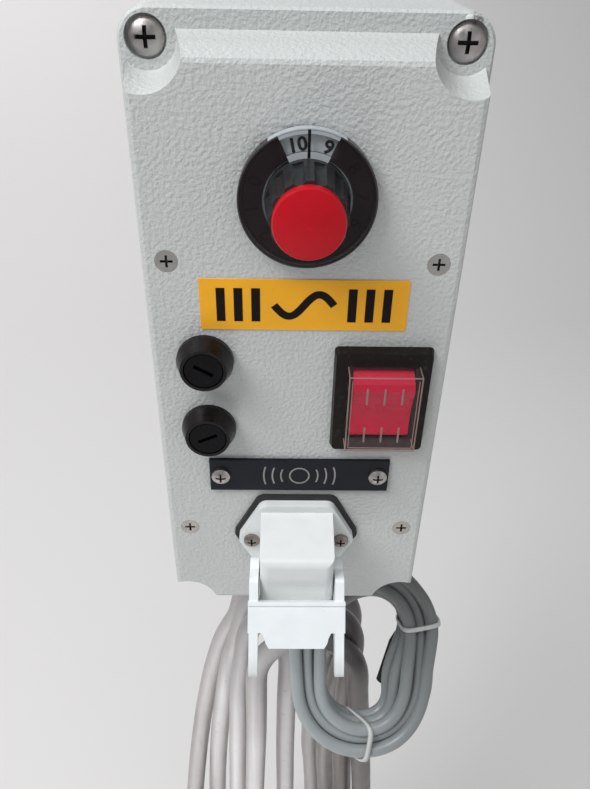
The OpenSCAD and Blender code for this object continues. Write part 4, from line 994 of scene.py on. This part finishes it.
class CONTROLLER_OT_plate(Operator):
    """Finish the black engraved plate with a plain ring between two pairs of arcs."""
    bl_idname = "controller.plate"
    bl_label = "Plate"

    def execute(self, context):
        f = Finish("anodised plate", roughness=0.34, shine=0.3)
        f.colour((0.006, 0.007, 0.013), 0.2, 0.004)
        f.bump(f.noise(0.0006, 2, stretch=(0.3, 1, 1)), 0.00002, 0.4)
        dress(f.material, "name_plate")
        dress(metal("plate screw steel", (0.52, 0.49, 0.47), 0.36, heads=(PLATE, (22, 0), 59.68, 5.1)),
              "plate_screws")
        cut = metal("engraving", (0.42, 0.42, 0.40), 0.5)
        cx, cz = PLATE
        a = np.linspace(0, 2 * np.pi, 49)
        paths = [np.stack([cx + RING_RADIUS * np.cos(a), cz + RING_RADIUS * np.sin(a)], -1)]
        for k, r in enumerate(ARC_RADII):
            a = np.linspace(-0.45, 0.45, 20) * (1.0 - 0.14 * k)
            paths += [np.stack([cx + s * r * np.cos(a), cz + r * np.sin(a)], -1) for s in (-1, 1)]
        engraved = skins("plate_marks", [stroke(path, ENGRAVED, PLATE_LOW, PLATE_HIGH) for path in paths],
                         cut, smooth=False)
        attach(engraved, "case")
        return {"FINISHED"}


# -------- output connector

class CONTROLLER_OT_connector(Operator):
    """Finish the white output connector, its gasket, contacts and locking lever."""
    bl_idname = "controller.connector"
    bl_label = "Output connector"

    def execute(self, context):
        dress(plastic("gasket rubber", (0.022, 0.024, 0.024), 0.65, dust=0.08), "connector_gasket")
        dress(plastic("housing white", colours().housing, 0.34, 0.03, 0.0014, 0.00003, sub=0.05),
              "connector_housing")
        # the lever darkens towards its lower end
        dress(plastic("lever white", (0.82, 0.86, 0.87), 0.32, 0.03, 0.0014, 0.00003, sub=0.05,
                      darker_along=("Z", -0.0655, -0.0700, (0.50, 0.50, 0.49), 0.55)), "locking_lever")
        dress(plastic("insert grey", (0.55, 0.55, 0.52), 0.45), "contact_insert")
        dress(metal("contact tin", (0.70, 0.58, 0.33), 0.25), "contacts")
        # the connector's screws are browner and darker than the others: partly their own brass-like tone,
        # partly painted shade from the flange
        dress(metal("flange screw steel with painted shade", (0.34, 0.30, 0.28), 0.36,
                    heads=(CONNECTOR, (13.1, 0), 62.58, 4.6)), "housing_screws")
        return {"FINISHED"}


# -------- the panel in the sidebar, and the run

OPERATORS = (
    CONTROLLER_OT_stage, CONTROLLER_OT_supply_cable, CONTROLLER_OT_sensor_cable, CONTROLLER_OT_enclosure,
    CONTROLLER_OT_dial, CONTROLLER_OT_fuses, CONTROLLER_OT_switch, CONTROLLER_OT_label,
    CONTROLLER_OT_plate, CONTROLLER_OT_connector,
)


class CONTROLLER_PT_panel(Panel):
    """Lists the controller's sizes, colours and pieces."""
    bl_idname = "CONTROLLER_PT_panel"
    bl_label = "Speed Controller"
    bl_space_type = "VIEW_3D"
    bl_region_type = "UI"
    bl_category = "Controller"

    def draw(self, context):
        for group in (context.scene.controller_sizes, context.scene.controller_colours):
            box = self.layout.box()
            for key in group.__annotations__:
                box.prop(group, key)
        for operator in OPERATORS:
            self.layout.operator(operator.bl_idname)


CLASSES = (CONTROLLER_PG_colours, CONTROLLER_PG_sizes) + OPERATORS + (CONTROLLER_PT_panel,)


def register():
    for item in CLASSES:
        bpy.utils.register_class(item)
    bpy.types.Scene.controller_colours = PointerProperty(type=CONTROLLER_PG_colours)
    bpy.types.Scene.controller_sizes = PointerProperty(type=CONTROLLER_PG_sizes)


def unregister():
    del bpy.types.Scene.controller_sizes
    del bpy.types.Scene.controller_colours
    for item in reversed(CLASSES):
        bpy.utils.unregister_class(item)


def main():
    register()
    for operator in OPERATORS:
        group, name = operator.bl_idname.split(".")
        getattr(getattr(bpy.ops, group), name)()


if __name__ == "__main__":
    main()
